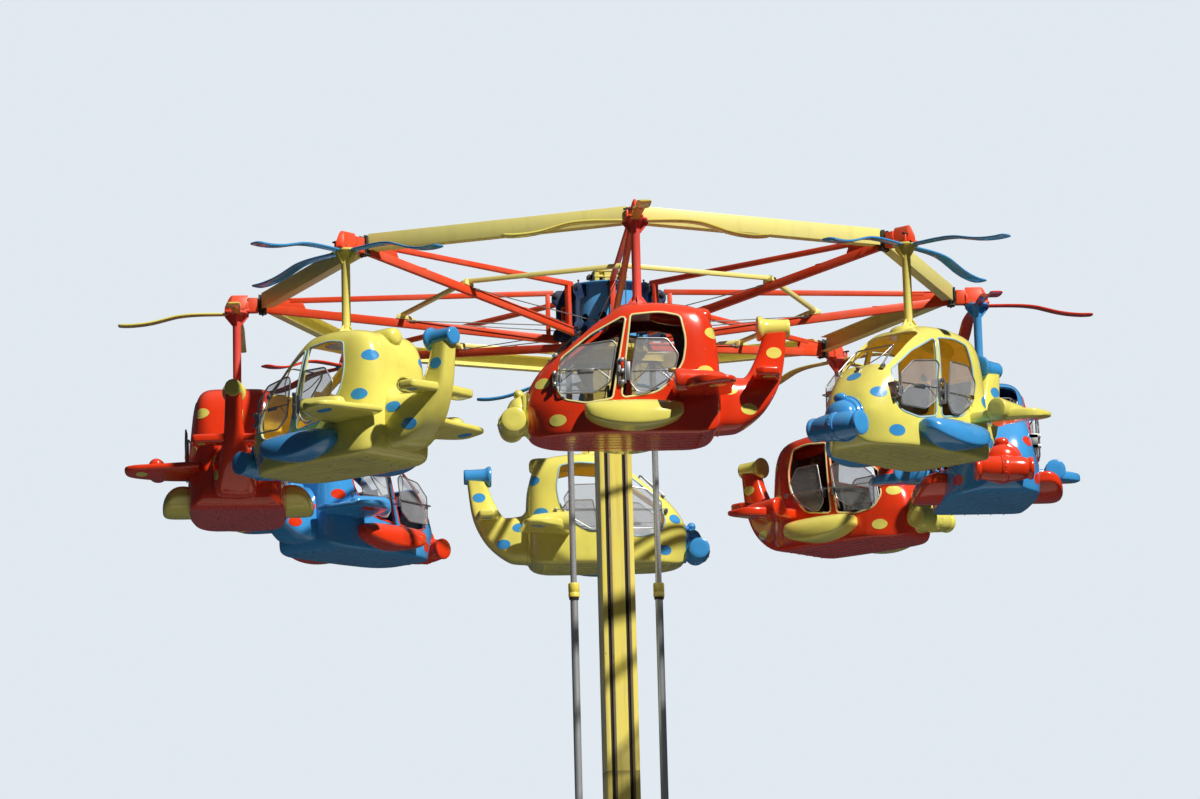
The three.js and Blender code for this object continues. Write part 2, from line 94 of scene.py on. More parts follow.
world_end = around_it.node_tree.nodes["World Output"]
around_it.node_tree.links.new(either.outputs[0], world_end.inputs["Surface"])
bpy.context.scene.world = around_it


# Base flange. A 40 mm steel plate, grit-blasted and painted grey, that sits on the foundation under
# the mast. Eight gussets are welded to it and to the mast, and fourteen holding-down bolts stand
# along its two long edges.
class Amount:
    """A shader socket whose arithmetic adds Math nodes."""

    def __init__(self, finish, socket):
        self.finish, self.socket = finish, socket

    def reckon(self, operation, first, second):
        return self.finish.node("ShaderNodeMath", {"operation": operation}, {0: first, 1: second})

    def __add__(self, other):
        return self.reckon("ADD", self, other)

    def __sub__(self, other):
        return self.reckon("SUBTRACT", self, other)

    def __rsub__(self, other):
        return self.reckon("SUBTRACT", other, self)

    def __mul__(self, other):
        return self.reckon("MULTIPLY", self, other)


class Finish:
    """A material with one Principled shader, whose fixed values sit on the shader's own sockets."""

    def __init__(self, name, **fixed):
        self.material = bpy.data.materials.new(name)
        self.material.use_nodes = True
        self.tree = self.material.node_tree
        self.shader = self.tree.nodes["Principled BSDF"]
        for key, value in fixed.items():
            self.shader.inputs[key.replace("_", " ").title().replace("Ior", "IOR")].default_value = value
        self.where = self.node("ShaderNodeTexCoord", output="Object")

    def node(self, kind, settings=None, inputs=None, output=0):
        return Amount(self, join_nodes(self.tree, kind, settings, inputs).outputs[output])

    def feed(self, name, amount):
        self.tree.links.new(amount.socket, self.shader.inputs[name])

    def noise(self, scale, detail=3.0, stretch=None, roughness=0.55):
        where = self.where
        if stretch:
            where = self.node("ShaderNodeMapping", None, {"Vector": where, "Scale": stretch})
        inputs = {"Vector": where, "Scale": scale, "Detail": detail, "Roughness": roughness}
        return self.node("ShaderNodeTexNoise", None, inputs)

    def ease(self, amount, low, high):
        """0 below low, 1 above high, smooth between; low may be the larger."""
        inputs = {"Value": amount, "From Min": low, "From Max": high}
        return self.node("ShaderNodeMapRange", {"interpolation_type": "SMOOTHSTEP"}, inputs)

    def blend(self, factor, first, second):
        first, second = ((*c, 1.0) if isinstance(c, tuple) else c for c in (first, second))
        return self.node("ShaderNodeMix", {"data_type": "RGBA"}, {0: factor, 6: first, 7: second}, 2)

    def facing_up(self, low, high):
        """How far the surface faces up, eased; negative limits pick what faces down."""
        normal = self.node("ShaderNodeNewGeometry", output="Normal")
        return self.ease(self.node("ShaderNodeSeparateXYZ", None, {0: normal}, "Z"), low, high)

    def raise_up(self, height, strength, distance):
        inputs = {"Height": height, "Strength": strength, "Distance": distance}
        self.feed("Normal", self.node("ShaderNodeBump", None, inputs))


def scaled(colour, factor):
    return tuple(min(1.0, part * factor) for part in colour)


def towards(colour, other, share):
    return tuple(a + (b - a) * share for a, b in zip(colour, other))


GRIME, RUST, GREASE = (0.06, 0.048, 0.034), (0.16, 0.052, 0.018), (0.085, 0.066, 0.045)
CHALK, SUN_FADE = (0.8, 0.78, 0.7), (0.85, 0.83, 0.78)


def paint(name, colour, wear=0.5, grime=0.5, gloss=0.34):
    """Brushed oil paint on steel: faded above, with grime, rusty chips and rain streaks, and darker on faces
    that look down.
    """
    made = Finish(name)
    patches = made.noise(2.1, 4.0)
    fine = made.noise(38.0, 4.0)
    streaks = made.ease(made.noise(9.0, 3.0, (1.0, 1.0, 0.1)), 0.5, 0.74)
    flaws = made.noise(15.0, 5.0, None, 0.7)
    more = 0.05 * wear
    chips = made.ease(flaws, 0.7 - more, 0.735 - more)
    rim = made.ease(flaws, 0.665 - more, 0.72 - more)
    base = made.blend(made.ease(patches, 0.35, 0.75), colour, towards(colour, CHALK, 0.07))
    base = made.blend(made.facing_up(0.1, 0.9) * 0.16, base, towards(colour, SUN_FADE, 0.35))
    dirt_and_dark_underside = made.ease(patches + fine * 0.35 + streaks * 0.3, 0.62, 1.05) * (0.45 * grime)
    # Faces that look down are made darker as well.
    dirt_and_dark_underside = dirt_and_dark_underside + made.facing_up(-0.2, -0.9) * (0.12 * grime)
    base = made.blend(dirt_and_dark_underside, base, towards(GRIME, colour, 0.3))
    base = made.blend(rim * (0.55 * wear), base, RUST)
    base = made.blend(chips * wear, base, scaled(RUST, 0.7))
    made.feed("Base Color", base)
    made.feed("Roughness", patches * 0.16 + fine * 0.1 + dirt_and_dark_underside * 0.4 + chips * 0.3 + (gloss - 0.1))
    made.raise_up(fine * 0.5 - chips * 0.8 + made.noise(160.0, 2.0) * 0.25, 0.32, 0.0016)
    return made.material


def steel(name, colour, gloss, metallic=1.0, grease=0.3):
    """Bare or plated steel with machining lines, handling marks and old grease."""
    made = Finish(name)
    lines = made.noise(26.0, 3.0, (1.0, 1.0, 14.0))
    marks = made.ease(made.noise(6.0, 5.0), 0.52, 0.72)
    base = made.blend(lines * 0.35, colour, scaled(colour, 0.62))
    made.feed("Base Color", made.blend(marks * grease, base, GREASE))
    below = made.facing_up(-0.1, -0.9)
    made.feed("Roughness", lines * 0.12 + marks * (0.5 * grease) + below * 0.06 + gloss)
    made.feed("Metallic", metallic - marks * (0.6 * grease))
    made.raise_up(lines, 0.12, 0.0006)
    return made.material


class Shape:
    """Points and faces in metres, each face with the name of its finish."""

    def __init__(self, points=(), faces=(), finish="main"):
        self.points = np.asarray(points, dtype=float).reshape(-1, 3)
        self.faces = [tuple(face) for face in faces]
        self.finishes = [finish] * len(self.faces) if isinstance(finish, str) else list(finish)

    def __add__(self, other):
        start = len(self.points)
        moved = [tuple(i + start for i in face) for face in other.faces]
        points = np.vstack([self.points, other.points])
        return Shape(points, self.faces + moved, self.finishes + other.finishes)

    def __radd__(self, nothing):
        """Lets sum() start from its 0."""
        return self

    def outward(self):
        """The same closed shape with its faces pointing out."""
        volume = 0.0
        for face in self.faces:
            corners = self.points[list(face)]
            for i in range(1, len(face) - 1):
                volume += np.dot(corners[0], np.cross(corners[i], corners[i + 1]))
        if volume < 0:
            self.faces = [face[::-1] for face in self.faces]
        return self

    def at(self, matrix):
        grid = np.array(matrix.to_4x4())
        points = self.points @ grid[:3, :3].T + grid[:3, 3]
        flipped = np.linalg.det(grid[:3, :3]) < 0
        faces = [face[::-1] for face in self.faces] if flipped else self.faces
        return Shape(points, faces, self.finishes)

    def moved(self, x, y, z):
        return self.at(Matrix.Translation((x, y, z)))

    def turned(self, degrees, axis="Z"):
        return self.at(Matrix.Rotation(math.radians(degrees), 4, axis))

    def stretched(self, x, y, z=1):
        return self.at(Matrix.Diagonal((x, y, z, 1)))

    def both_sides(self):
        return self + self.stretched(1, -1)

    def called(self, finish):
        return Shape(self.points, self.faces, finish)

    def mesh(self, name, materials=None):
        """A Blender mesh, with one material slot for each finish name."""
        materials = materials or dict.fromkeys(self.finishes)
        made = bpy.data.meshes.new(name)
        made.from_pydata(self.points.tolist(), [], self.faces)
        lookup = {key: index for index, key in enumerate(sorted(materials))}
        for key in lookup:
            made.materials.append(materials[key])
        made.polygons.foreach_set("material_index", [lookup[key] for key in self.finishes])
        made.update()
        return made


def from_mesh(mesh, names):
    """The mesh as a Shape again; the mesh goes."""
    points = np.empty(len(mesh.vertices) * 3)
    mesh.vertices.foreach_get("co", points)
    faces = [tuple(polygon.vertices) for polygon in mesh.polygons]
    made = Shape(points, faces, [names[polygon.material_index] for polygon in mesh.polygons])
    bpy.data.meshes.remove(mesh)
    return made


def loft(rings, looped=False, finish="main"):
    """A skin through rings of equal counts, closed by end caps or on itself."""
    rings = [np.asarray(ring, dtype=float) for ring in rings]
    count, rows = len(rings[0]), len(rings)
    faces = []
    for row in range(rows if looped else rows - 1):
        this, following = row * count, ((row + 1) % rows) * count
        for i in range(count):
            j = (i + 1) % count
            faces.append((this + i, this + j, following + j, following + i))
    if not looped:
        faces.append(tuple(range(count))[::-1])
        faces.append(tuple(range((rows - 1) * count, rows * count)))
    return Shape(np.vstack(rings), faces, finish).outward()


def circle(radius, count):
    angles = [2 * math.pi * i / count for i in range(count)]
    return [(radius * math.cos(a), radius * math.sin(a)) for a in angles]


def lathe(profile, steps=32, finish="main", looped=False):
    """A turned piece about Z, from (radius, height) corners."""
    rings = [[(x, y, height) for x, y in circle(radius, steps)] for radius, height in profile]
    return loft(rings, looped, finish)


def bevelled(shape, width, segments=2):
    """The shape with its edges of more than 28 degrees rounded."""
    names = sorted(set(shape.finishes))
    mesh = shape.mesh("soft")
    work = bmesh.new()
    work.from_mesh(mesh)
    sharp = [e for e in work.edges if e.is_manifold and e.calc_face_angle(0.0) > math.radians(28)]
    bmesh.ops.bevel(work, geom=sharp, offset=width, segments=segments, profile=0.5,
                    affect="EDGES", clamp_overlap=True, offset_type="OFFSET")
    work.to_mesh(mesh)
    work.free()
    return from_mesh(mesh, names)


def slab(outline, low, high, soft=0.0, finish="main", segments=2):
    """A plate cut to an outline in XY, between two heights, with its edges broken."""
    made = loft([[(x, y, height) for x, y in outline] for height in (low, high)], False, finish)
    return bevelled(made, soft, segments) if soft else made


def block(start, end, soft=0.0, finish="main"):
    """A box between two opposite corners."""
    (x0, x1), (y0, y1), (z0, z1) = (sorted(pair) for pair in zip(start, end))
    return slab([(x0, y0), (x1, y0), (x1, y1), (x0, y1)], z0, z1, soft, finish)


# Turns an outline drawn in X and Z into a plate that stands upright along Y.
STANDING = Matrix(((1, 0, 0, 0), (0, 0, -1, 0), (0, 1, 0, 0), (0, 0, 0, 1)))


def upright(outline, y0, y1, soft=0.0, finish="main", segments=2):
    return slab(outline, -y1, -y0, soft, finish, segments).at(STANDING)


def rounded(corners, steps=5):
    """A closed outline from (x, y, radius) corners, each with an arc of that radius, or none."""
    made = []
    for i, (x, y, *radius) in enumerate(corners):
        here = Vector((x, y))
        back = Vector(corners[i - 1][:2]) - here
        ahead = Vector(corners[(i + 1) % len(corners)][:2]) - here
        half = back.angle(ahead) / 2
        reach = min(sum(radius) / math.tan(half), 0.48 * back.length, 0.48 * ahead.length)
        size = reach * math.tan(half)
        if size < 1e-5:
            made.append((x, y))
            continue
        start, end = here + back.normalized() * reach, here + ahead.normalized() * reach
        centre = here + (back.normalized() + ahead.normalized()).normalized() * math.hypot(size, reach)
        first, last = start - centre, end - centre
        for step in range(steps + 1):
            made.append(tuple(centre + first.lerp(last, step / steps).normalized() * size))
    return made


def rectangle(x, y, radius, steps=5):
    """A rounded outline between (low, high) limits in x and y."""
    corners = [(x[0], y[0]), (x[1], y[0]), (x[1], y[1]), (x[0], y[1])]
    return rounded([(*corner, radius) for corner in corners], steps)


def repeat_tree():
    """Geometry Nodes: copies of what comes in, each turned and moved on from the last."""
    tree = bpy.data.node_groups.new("Repeated piece", "GeometryNodeTree")
    for label, kind in (("Geometry", "Geometry"), ("Count", "Int"), ("Turn", "Vector"), ("Shift", "Vector")):
        tree.interface.new_socket(label, in_out="INPUT", socket_type=f"NodeSocket{kind}")
    tree.interface.new_socket("Geometry", in_out="OUTPUT", socket_type="NodeSocketGeometry")
    given = join_nodes(tree, "NodeGroupInput").outputs
    index = join_nodes(tree, "GeometryNodeInputIndex").outputs[0]
    shift, turn = (join_nodes(tree, "ShaderNodeVectorMath", {"operation": "SCALE"},
                              {0: given[label], "Scale": index}).outputs[0] for label in ("Shift", "Turn"))
    euler = join_nodes(tree, "FunctionNodeEulerToRotation", None, {0: turn}).outputs[0]
    points = join_nodes(tree, "GeometryNodePoints", None, {"Count": given["Count"], "Position": shift})
    copies = join_nodes(tree, "GeometryNodeInstanceOnPoints", None,
                        {"Points": points.outputs[0], "Instance": given["Geometry"], "Rotation": euler})
    real = join_nodes(tree, "GeometryNodeRealizeInstances", None, {0: copies.outputs[0]})
    join_nodes(tree, "NodeGroupOutput", None, {0: real.outputs[0]})
    return tree


repeating = repeat_tree()


def evaluated(worker):
    """The plain mesh that an object's modifiers make; the object goes."""
    made = bpy.data.meshes.new_from_object(worker.evaluated_get(bpy.context.evaluated_depsgraph_get()))
    worker.modifiers.clear()
    old = worker.data
    bpy.data.objects.remove(worker)
    bpy.data.meshes.remove(old)
    return made


def repeated(shape, count, turn=(0, 0, 0), shift=(0, 0, 0)):
    """Copies of one finish, each turned (degrees, about the origin) and shifted on from the last."""
    worker = placed("repeated", shape.mesh("repeated"))
    modifier = worker.modifiers.new("repeat", "NODES")
    modifier.node_group = repeating
    values = {"Count": count, "Turn": [math.radians(t) for t in turn], "Shift": shift}
    for item in repeating.interface.items_tree:
        if item.in_out == "INPUT" and item.name in values:
            modifier[item.identifier] = values[item.name]
    return from_mesh(evaluated(worker), shape.finishes)


def around(shape, count):
    """Copies at even angles round the Z axis."""
    return repeated(shape, count, (0, 0, 360 / count))


def fit(name, shape, finishes, body, node, place=None, sharp=34.0):
    """Sets a finished piece on its body, in the place of its CAD node."""
    if place is not None:
        shape = shape.at(place)
    mesh = shape.mesh(name, {key: finishes[key] for key in set(shape.finishes)})
    mesh.validate()
    mesh.shade_smooth()
    mesh.set_sharp_from_angle(angle=math.radians(sharp))
    piece = placed(name, mesh)
    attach(piece, body)
    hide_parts(node)
    return piece


MAST_ANGLE = math.radians(5)
MAST_TURN = Matrix.Rotation(MAST_ANGLE, 4, "Z")
plate_grey = paint("grey paint", (0.17, 0.18, 0.19), 0.6, 0.8)
dark_iron = steel("black bolts", (0.085, 0.085, 0.09), 0.42, 0.85, 0.5)
zinc = steel("zinc plate", (0.58, 0.59, 0.6), 0.3, 1.0, 0.35)


def hex_bolt(across, height, washer=0.0):
    """A bolt head standing on z = 0; with a washer it also has a short end of thread."""
    corner, thread = across * 0.577, across * 0.3
    made = lathe([(across * 0.52, 0.0), (corner, height * 0.12), (corner, height * 0.82),
                  (across * 0.48, height)], 6, "bolt")
    if washer:
        made += lathe([(across * 0.95, -0.001), (across * 0.95, washer)], 14, "bolt")
        made += lathe([(thread, height * 0.9), (thread, height * 1.55), (across * 0.24, height * 1.65)], 10,
                      "bolt")
    return made


PLATE, FOOT_BOLTS, BOLT_PITCH = 0.04, 7, 0.225
flange = slab(rectangle((-0.75, 0.75), (-0.45, 0.45), 0.03), 0.0, PLATE, 0.003)
gusset = upright([(0.186, 0.039), (0.365, 0.039), (0.365, 0.09), (0.2, 0.42), (0.186, 0.42)],
                 0.112, 0.128, 0.002)
seam = upright([(0.186, 0.039), (0.365, 0.039), (0.365, 0.046), (0.193, 0.046)], 0.108, 0.132, 0.003)
for y in (0, -0.24):
    flange += around((gusset + seam).moved(0, y, 0), 4)
foot_bolt = hex_bolt(0.046, 0.028, 0.006).moved(-0.675, -0.375, PLATE)
foot_bolts = repeated(foot_bolt, FOOT_BOLTS, shift=(BOLT_PITCH, 0, 0))
foot_bolts += foot_bolts.turned(180)
fit("base_flange_plate", flange + foot_bolts, {"main": plate_grey, "bolt": dark_iron}, "fixed",
    "base_frame", MAST_TURN)


# Mast. A 370 mm welded box column with two pairs of guide channels, painted yellow. The carriage's
# greasy slides run in the channels, each with a painted shadow beside it. Both side faces are painted
# pale grey-green mottled towards yellow, a painted sky reflection on yellow paint in shade.
def mast_paint():
    made = Finish("mast yellow", coat_weight=0.12, coat_roughness=0.2)
    square = {"Vector": made.where, "Rotation": (0, 0, -MAST_ANGLE)}
    across = made.node("ShaderNodeSeparateXYZ", None, {0: made.node("ShaderNodeMapping", None, square)})
    side = made.ease(made.node("ShaderNodeMath", {"operation": "ABSOLUTE"}, {0: across}), 0.1835, 0.1846)
    patches = made.noise(3.0, 5.0, (1.0, 1.0, 0.35), 0.62)
    fine = made.noise(44.0, 4.0)
    drips = made.ease(made.noise(16.0, 4.0, (1.0, 1.0, 0.05)), 0.48, 0.7)
    yellow = made.blend(made.ease(patches, 0.3, 0.75), (0.92, 0.78, 0.13), (0.85, 0.74, 0.24))
    yellow = made.blend(drips * 0.3, yellow, (0.36, 0.28, 0.06))
    mottle = made.ease(patches + fine * 0.16, 0.5, 0.66)
    # Both side faces get pale grey-green mottled towards yellow: painted sky reflection on yellow paint in
    # shade.
    base = made.blend(side, yellow, made.blend(mottle, (0.6, 0.7, 0.58), (0.8, 0.74, 0.38)))
    chips = made.ease(made.noise(11.0, 6.0, None, 0.72), 0.655, 0.69)
    base = made.blend(chips * 0.75, base, scaled(RUST, 1.2))
    joints = made.node("ShaderNodeTexWave", {"wave_profile": "SAW", "bands_direction": "Z"},
                       {"Vector": made.where, "Scale": 0.053, "Distortion": 0.0})
    base = made.blend(made.ease(joints, 0.985, 0.999) * 0.6, base, (0.2, 0.15, 0.05))
    made.feed("Base Color", base)
    made.feed("Roughness", patches * 0.2 + fine * 0.1 + side * 0.16 + chips * 0.25 + 0.26)
    made.raise_up(fine * 0.4 + patches * 0.6 - chips, 0.35, 0.002)
    return made.material


mast_yellow = mast_paint()
machine_yellow = paint("machine yellow", (0.87, 0.72, 0.12), 0.45, 0.75)
grease_brown = steel("greasy guide", (0.24, 0.19, 0.13), 0.4, 0.55, 0.8)
# A near-black finish for black rubber and caps, and for painted shade: the strip beside each mast rail and
# the drain holes.
black = Finish("black and painted shade", roughness=0.9)
black.feed("Base Color", black.blend(black.noise(12.0), (0.01, 0.009, 0.008), (0.03, 0.026, 0.02)))
HALF, MAST_TOP = 0.185, 11.6
GROOVE, GROOVE_HALF, GROOVE_DEEP = 0.1, 0.031, 0.0215


def mast_outline():
    """One quarter turn at a time: a rounded corner, then the channels on the front and back faces."""
    made = []
    for turn in range(4):
        points = [(HALF - 0.014, -HALF), (HALF - 0.004, -HALF + 0.004), (HALF, -HALF + 0.014)]
        if turn % 2:
            for x in (-GROOVE, GROOVE):
                low, high = x - GROOVE_HALF, x + GROOVE_HALF
                points += [(HALF, low), (HALF - GROOVE_DEEP, low), (HALF - GROOVE_DEEP, high), (HALF, high)]
        made += [tuple(Matrix.Rotation(turn * math.pi / 2, 2) @ Vector(p)) for p in points]
    return made


mast = slab(mast_outline(), PLATE + 0.0005, MAST_TOP - 0.029)
mast += block((-0.193, -0.193, MAST_TOP - 0.03), (0.193, 0.193, MAST_TOP - 0.012), 0.003)
mast += block((-0.191, -0.191, MAST_TOP - 0.095), (0.191, 0.191, MAST_TOP - 0.082), 0.003)
mast += block((-0.246, -0.04, MAST_TOP - 0.084), (-0.18, 0.04, MAST_TOP - 0.042), 0.004, "bolt")
mast += hex_bolt(0.024, 0.014, 0.004).moved(-0.216, 0.0, MAST_TOP - 0.0425)
CHANNEL_FOOT, CHANNEL_HEAD, BED = 0.43, MAST_TOP - 0.1, HALF - GROOVE_DEEP - 0.001
# Beside each rail a thin black strip, finish "shade", is a painted shadow of the rail on the channel bed.
for x in (-GROOVE, GROOVE):
    for side in (-1, 1):
        bed, low, high = side * BED, CHANNEL_FOOT, CHANNEL_HEAD
        mast += block((x + 0.004, bed, low), (x + 0.03, side * (HALF - 0.004), high), 0.003, "rail")
        mast += block((x - 0.0305, bed, low), (x + 0.004, side * (BED + 0.002), high), 0, "shade")
mast += around(hex_bolt(0.02, 0.007, 0.002).moved(0.14, 0.14, MAST_TOP - 0.0122), 4)
fit("mast_column", mast,
    {"main": mast_yellow, "bolt": dark_iron, "rail": grease_brown, "shade": black.material},
    "fixed", "mast", MAST_TURN)

# Rams. Each side has a telescopic hydraulic ram: a painted barrel bolted to the base, two ground
# steel stages with yellow gland nuts, and a chromed rod that carries the crosshead.
ground_steel = steel("ground steel", (0.62, 0.66, 0.71), 0.28, 0.6, 0.1)
chrome_rod = steel("chromed rod", (0.7, 0.74, 0.79), 0.2, 0.6, 0.06)
bright_yellow = paint("gland yellow", (0.88, 0.74, 0.1), 0.3, 0.35)
# The right ram's gland nuts are a darker yellow than the left's, with more grime.
darker_gland_yellow = paint("darker gland yellow", (0.5, 0.42, 0.09), 0.6, 1.3, 0.42)
RAM_PLACE, CROSSHEAD, SIDES = 0.48, 10.55, 28


def gland(radius, outer, high, tall):
    """The nut at a tube's top: a grooved body with a wiper lip."""
    low, neck = high - tall, outer * 0.965
    return [(radius, low), (outer * 0.94, low), (outer, low + 0.004), (outer, low + tall * 0.3),
            (neck, low + tall * 0.32), (neck, low + tall * 0.36), (outer, low + tall * 0.38),
            (outer, high - 0.016), (outer * 0.93, high - 0.004), (outer * 0.9, high - 0.0005)]


def tube(bore, radius, low, nut, nut_finish):
    """A tube with a stepped nut at its top, open at both ends."""
    skin = [(bore, low), (radius, low)] + nut + [(bore, nut[-1][1])]
    made = lathe(skin, SIDES, "tube", looped=True)
    rows = ["tube"] * 2 + [nut_finish] * (len(skin) - 3) + ["tube"]
    made.finishes = [name for name in rows for _ in range(SIDES)]
    return made


def square_ring(bore, radius, low, high, finish="main", steps=SIDES):
    """A square-edged ring between two heights."""
    return lathe([(bore, low), (radius, low), (radius, high), (bore, high)], steps, finish, True)


ram_foot = PLATE + 0.0005
barrel = tube(0.0535, 0.064, ram_foot, gland(0.064, 0.086, 2.715, 0.15), "paint")
barrel += lathe([(0.058, ram_foot), (0.124, ram_foot), (0.124, 0.066), (0.12, 0.07), (0.058, 0.07)],
                SIDES, "paint", True)
barrel += around(upright([(0.06, 0.066), (0.112, 0.066), (0.064, 0.165), (0.06, 0.165)],
                         -0.005, 0.005, 0.001), 6)
barrel = barrel.called("paint")
oil_port = lathe([(0.018, 0.0), (0.018, 0.03), (0.012, 0.033), (0.012, 0.05)], 14, "bolt")
barrel += oil_port.turned(90, "Y").moved(0.055, 0, 0.24)
barrel += around(hex_bolt(0.02, 0.012, 0.003).moved(0.098, 0, 0.07).turned(30), 6)
first_stage = tube(0.0435, 0.053, 5.345 - 2.75, gland(0.053, 0.074, 5.345, 0.12), "nut")
second_stage = tube(0.0355, 0.043, 8.04 - 2.945, gland(0.043, 0.062, 8.04, 0.16), "nut")
second_stage += square_ring(0.0435, 0.055, 7.855, 7.8795, "ring")
rod = lathe([(0.03, CROSSHEAD - 2.78), (0.035, CROSSHEAD - 2.774), (0.035, CROSSHEAD - 0.04),
             (0.0315, CROSSHEAD - 0.036), (0.0315, CROSSHEAD - 0.0003)], SIDES, "rod")
for side, place, nut_paint in (("left", -RAM_PLACE, bright_yellow), ("right", RAM_PLACE, darker_gland_yellow)):
    here = Matrix.Translation(MAST_TURN @ Vector((place, 0, 0)))
    looks = {"tube": ground_steel, "nut": nut_paint, "bolt": dark_iron, "paint": machine_yellow,
             "ring": black.material, "rod": chrome_rod}
    fit(f"ram_{side}_barrel", barrel, looks, "fixed", f"ram_barrel_{side}", here)
    fit(f"ram_{side}_stage_1", first_stage, looks, "ram_stage_1", f"ram_stage_1_{side}", here)
    fit(f"ram_{side}_stage_2", second_stage, looks, "ram_stage_2", f"ram_stage_2_{side}", here)
    fit(f"ram_{side}_rod", rod, looks, "lift_carriage", f"ram_rod_{side}", here)

# Carriage. A welded square sleeve slides on the mast; a plate on it carries the slewing ring, and a
# crosshead of two channels reaches out to the rams. Painted with the mast, grimy, and darker on faces
# that look down.
carriage_yellow = paint("carriage yellow", (0.78, 0.64, 0.13), 0.7, 1.2, 0.4)
SEAT_TOP, SLEEVE_BORE = 10.7, HALF + 0.0092


def hollow_square(half, bore, low, high, soft=0.004):
    """A square tube from rings of four corners."""
    corners = ((1, 1), (-1, 1), (-1, -1), (1, -1))
    profile = ((half - soft, low), (half, low + soft), (half, high - soft), (half - soft, high),
               (bore, high), (bore, low))
    return loft([[(x * reach, y * reach, height) for x, y in corners] for reach, height in profile], True)


carriage = hollow_square(0.24, SLEEVE_BORE, 9.96, 11.23)
for height in (9.966, 10.3, 10.86, 11.18):
    carriage += hollow_square(0.2395, 0.23, height, height + 0.03, 0.002)
carriage += square_ring(0.236, 0.425, SEAT_TOP - 0.045, SEAT_TOP, steps=56)
ram_nut = lathe([(0.058, -0.004), (0.058, 0.02), (0.05, 0.026), (0.03, 0.026)], 6, "bolt")
for side in (-1, 1):
    near, far, end = side * 0.238, side * 0.59, side * 0.585
    for low, high in ((CROSSHEAD, CROSSHEAD + 0.014), (SEAT_TOP - 0.058, SEAT_TOP - 0.0445)):
        carriage += block((near, -0.11, low), (far, 0.11, high), 0.002)
    for y in (-0.1, 0.086):
        carriage += block((near, y, CROSSHEAD + 0.013), (far, y + 0.014, SEAT_TOP - 0.057))
    carriage += block((end - 0.005, -0.108, CROSSHEAD), (end + 0.005, 0.108, SEAT_TOP - 0.045), 0.002)
    brace = [(side * x, CROSSHEAD + z)
             for x, z in ((0.239, -0.33), (0.42, -0.02), (0.42, 0.001), (0.239, 0.001))]
    for y in (-0.096, 0.08):
        carriage += upright(brace, y, y + 0.016, 0.002)
    carriage += ram_nut.moved(side * RAM_PLACE, 0, CROSSHEAD + 0.014)
pad_bolt = hex_bolt(0.022, 0.0125).turned(90, "X")
carriage += around(sum(pad_bolt.moved(x, -0.2385, height)
                       for height in (10.05, 10.2, 11.1) for x in (-0.1, 0.1)), 4)
fit("lift_carriage_frame", carriage, {"main": carriage_yellow, "bolt": dark_iron}, "lift_carriage",
    "carriage", MAST_TURN)

# Slewing ring. A toothed bearing ring bolted to the carriage plate, on which the drum turns. Forged
# steel, brown with grease.
RING_TOP, TEETH = 10.79, 84
bearing = lathe([(0.346, SEAT_TOP + 0.0003), (0.405, SEAT_TOP + 0.0003), (0.405, SEAT_TOP + 0.045),
                 (0.399, SEAT_TOP + 0.05), (0.405, SEAT_TOP + 0.055), (0.405, RING_TOP),
                 (0.346, RING_TOP)], 72, looped=True)
tooth = [(0.4035, -0.0125), (0.423, -0.0055), (0.423, 0.0055), (0.4035, 0.0125)]
bearing += around(slab(tooth, SEAT_TOP + 0.004, SEAT_TOP + 0.04), TEETH)
fit("slewing_bearing", bearing, {"main": grease_brown}, "lift_carriage", "slewing_ring")

# Drum. A rolled and welded steel drum, painted blue, that turns with the arms. It has a ring of round
# lightening holes low down, a wide bolted rim, and paired cheeks with pins that hold the arm roots. The
# well inside, its liner ring and the cheeks are painted shade: a near-black navy copy of the drum blue.
drum_blue = paint("drum blue", (0.1, 0.45, 0.95), 0.25, 0.2, 0.18)
drum_painted_shade = paint("drum painted shade", (0.006, 0.028, 0.1), 0.2, 0.4, 0.5)
DRUM, RIM, DRUM_TOP, WELL = 0.43, 0.51, 11.4, 0.414
RIM_LOW, DRUM_SIDES, ARM_ROOTS, RIM_BOLTS = DRUM_TOP - 0.014, 96, 8, 24
HOLES, HOLE_LEVEL, HOLE_RADIUS = 12, 11.01, 0.049


def carved(shape, *cutters):
    """The shape with each cutter taken out of it."""
    for cutter in cutters:
        names = sorted(set(shape.finishes) | set(cutter.finishes))
        solid = placed("solid", shape.mesh("solid", dict.fromkeys(names)))
        tool = placed("tool", cutter.mesh("tool", dict.fromkeys(names)))
        modifier = solid.modifiers.new("cut", "BOOLEAN")
        modifier.operation, modifier.solver, modifier.object = "DIFFERENCE", "EXACT", tool
        shape = from_mesh(evaluated(solid), names)
        old = tool.data
        bpy.data.objects.remove(tool)
        bpy.data.meshes.remove(old)
    return shape


skin = [(0.36, RING_TOP + 0.0003), (DRUM, RING_TOP + 0.0003), (DRUM, RIM_LOW), (RIM - 0.002, RIM_LOW),
        (RIM, DRUM_TOP - 0.012), (RIM, DRUM_TOP - 0.002), (RIM - 0.002, DRUM_TOP), (WELL, DRUM_TOP),
        (WELL, RING_TOP + 0.028), (0.36, RING_TOP + 0.028)]
drum = lathe(skin, DRUM_SIDES, looped=True)
drum.finishes = ["main"] * DRUM_SIDES * 7 + ["inside"] * DRUM_SIDES * 3
hole = lathe([(HOLE_RADIUS, DRUM - 0.07), (HOLE_RADIUS, DRUM + 0.05)], 28).turned(90, "Y")
drum = carved(drum, around(hole.moved(0, 0, HOLE_LEVEL).turned(16), HOLES))
drum += lathe([(DRUM - 0.001, 10.86), (DRUM + 0.004, 10.862), (DRUM + 0.004, 10.868), (DRUM - 0.001, 10.87)],
              DRUM_SIDES, looped=True)
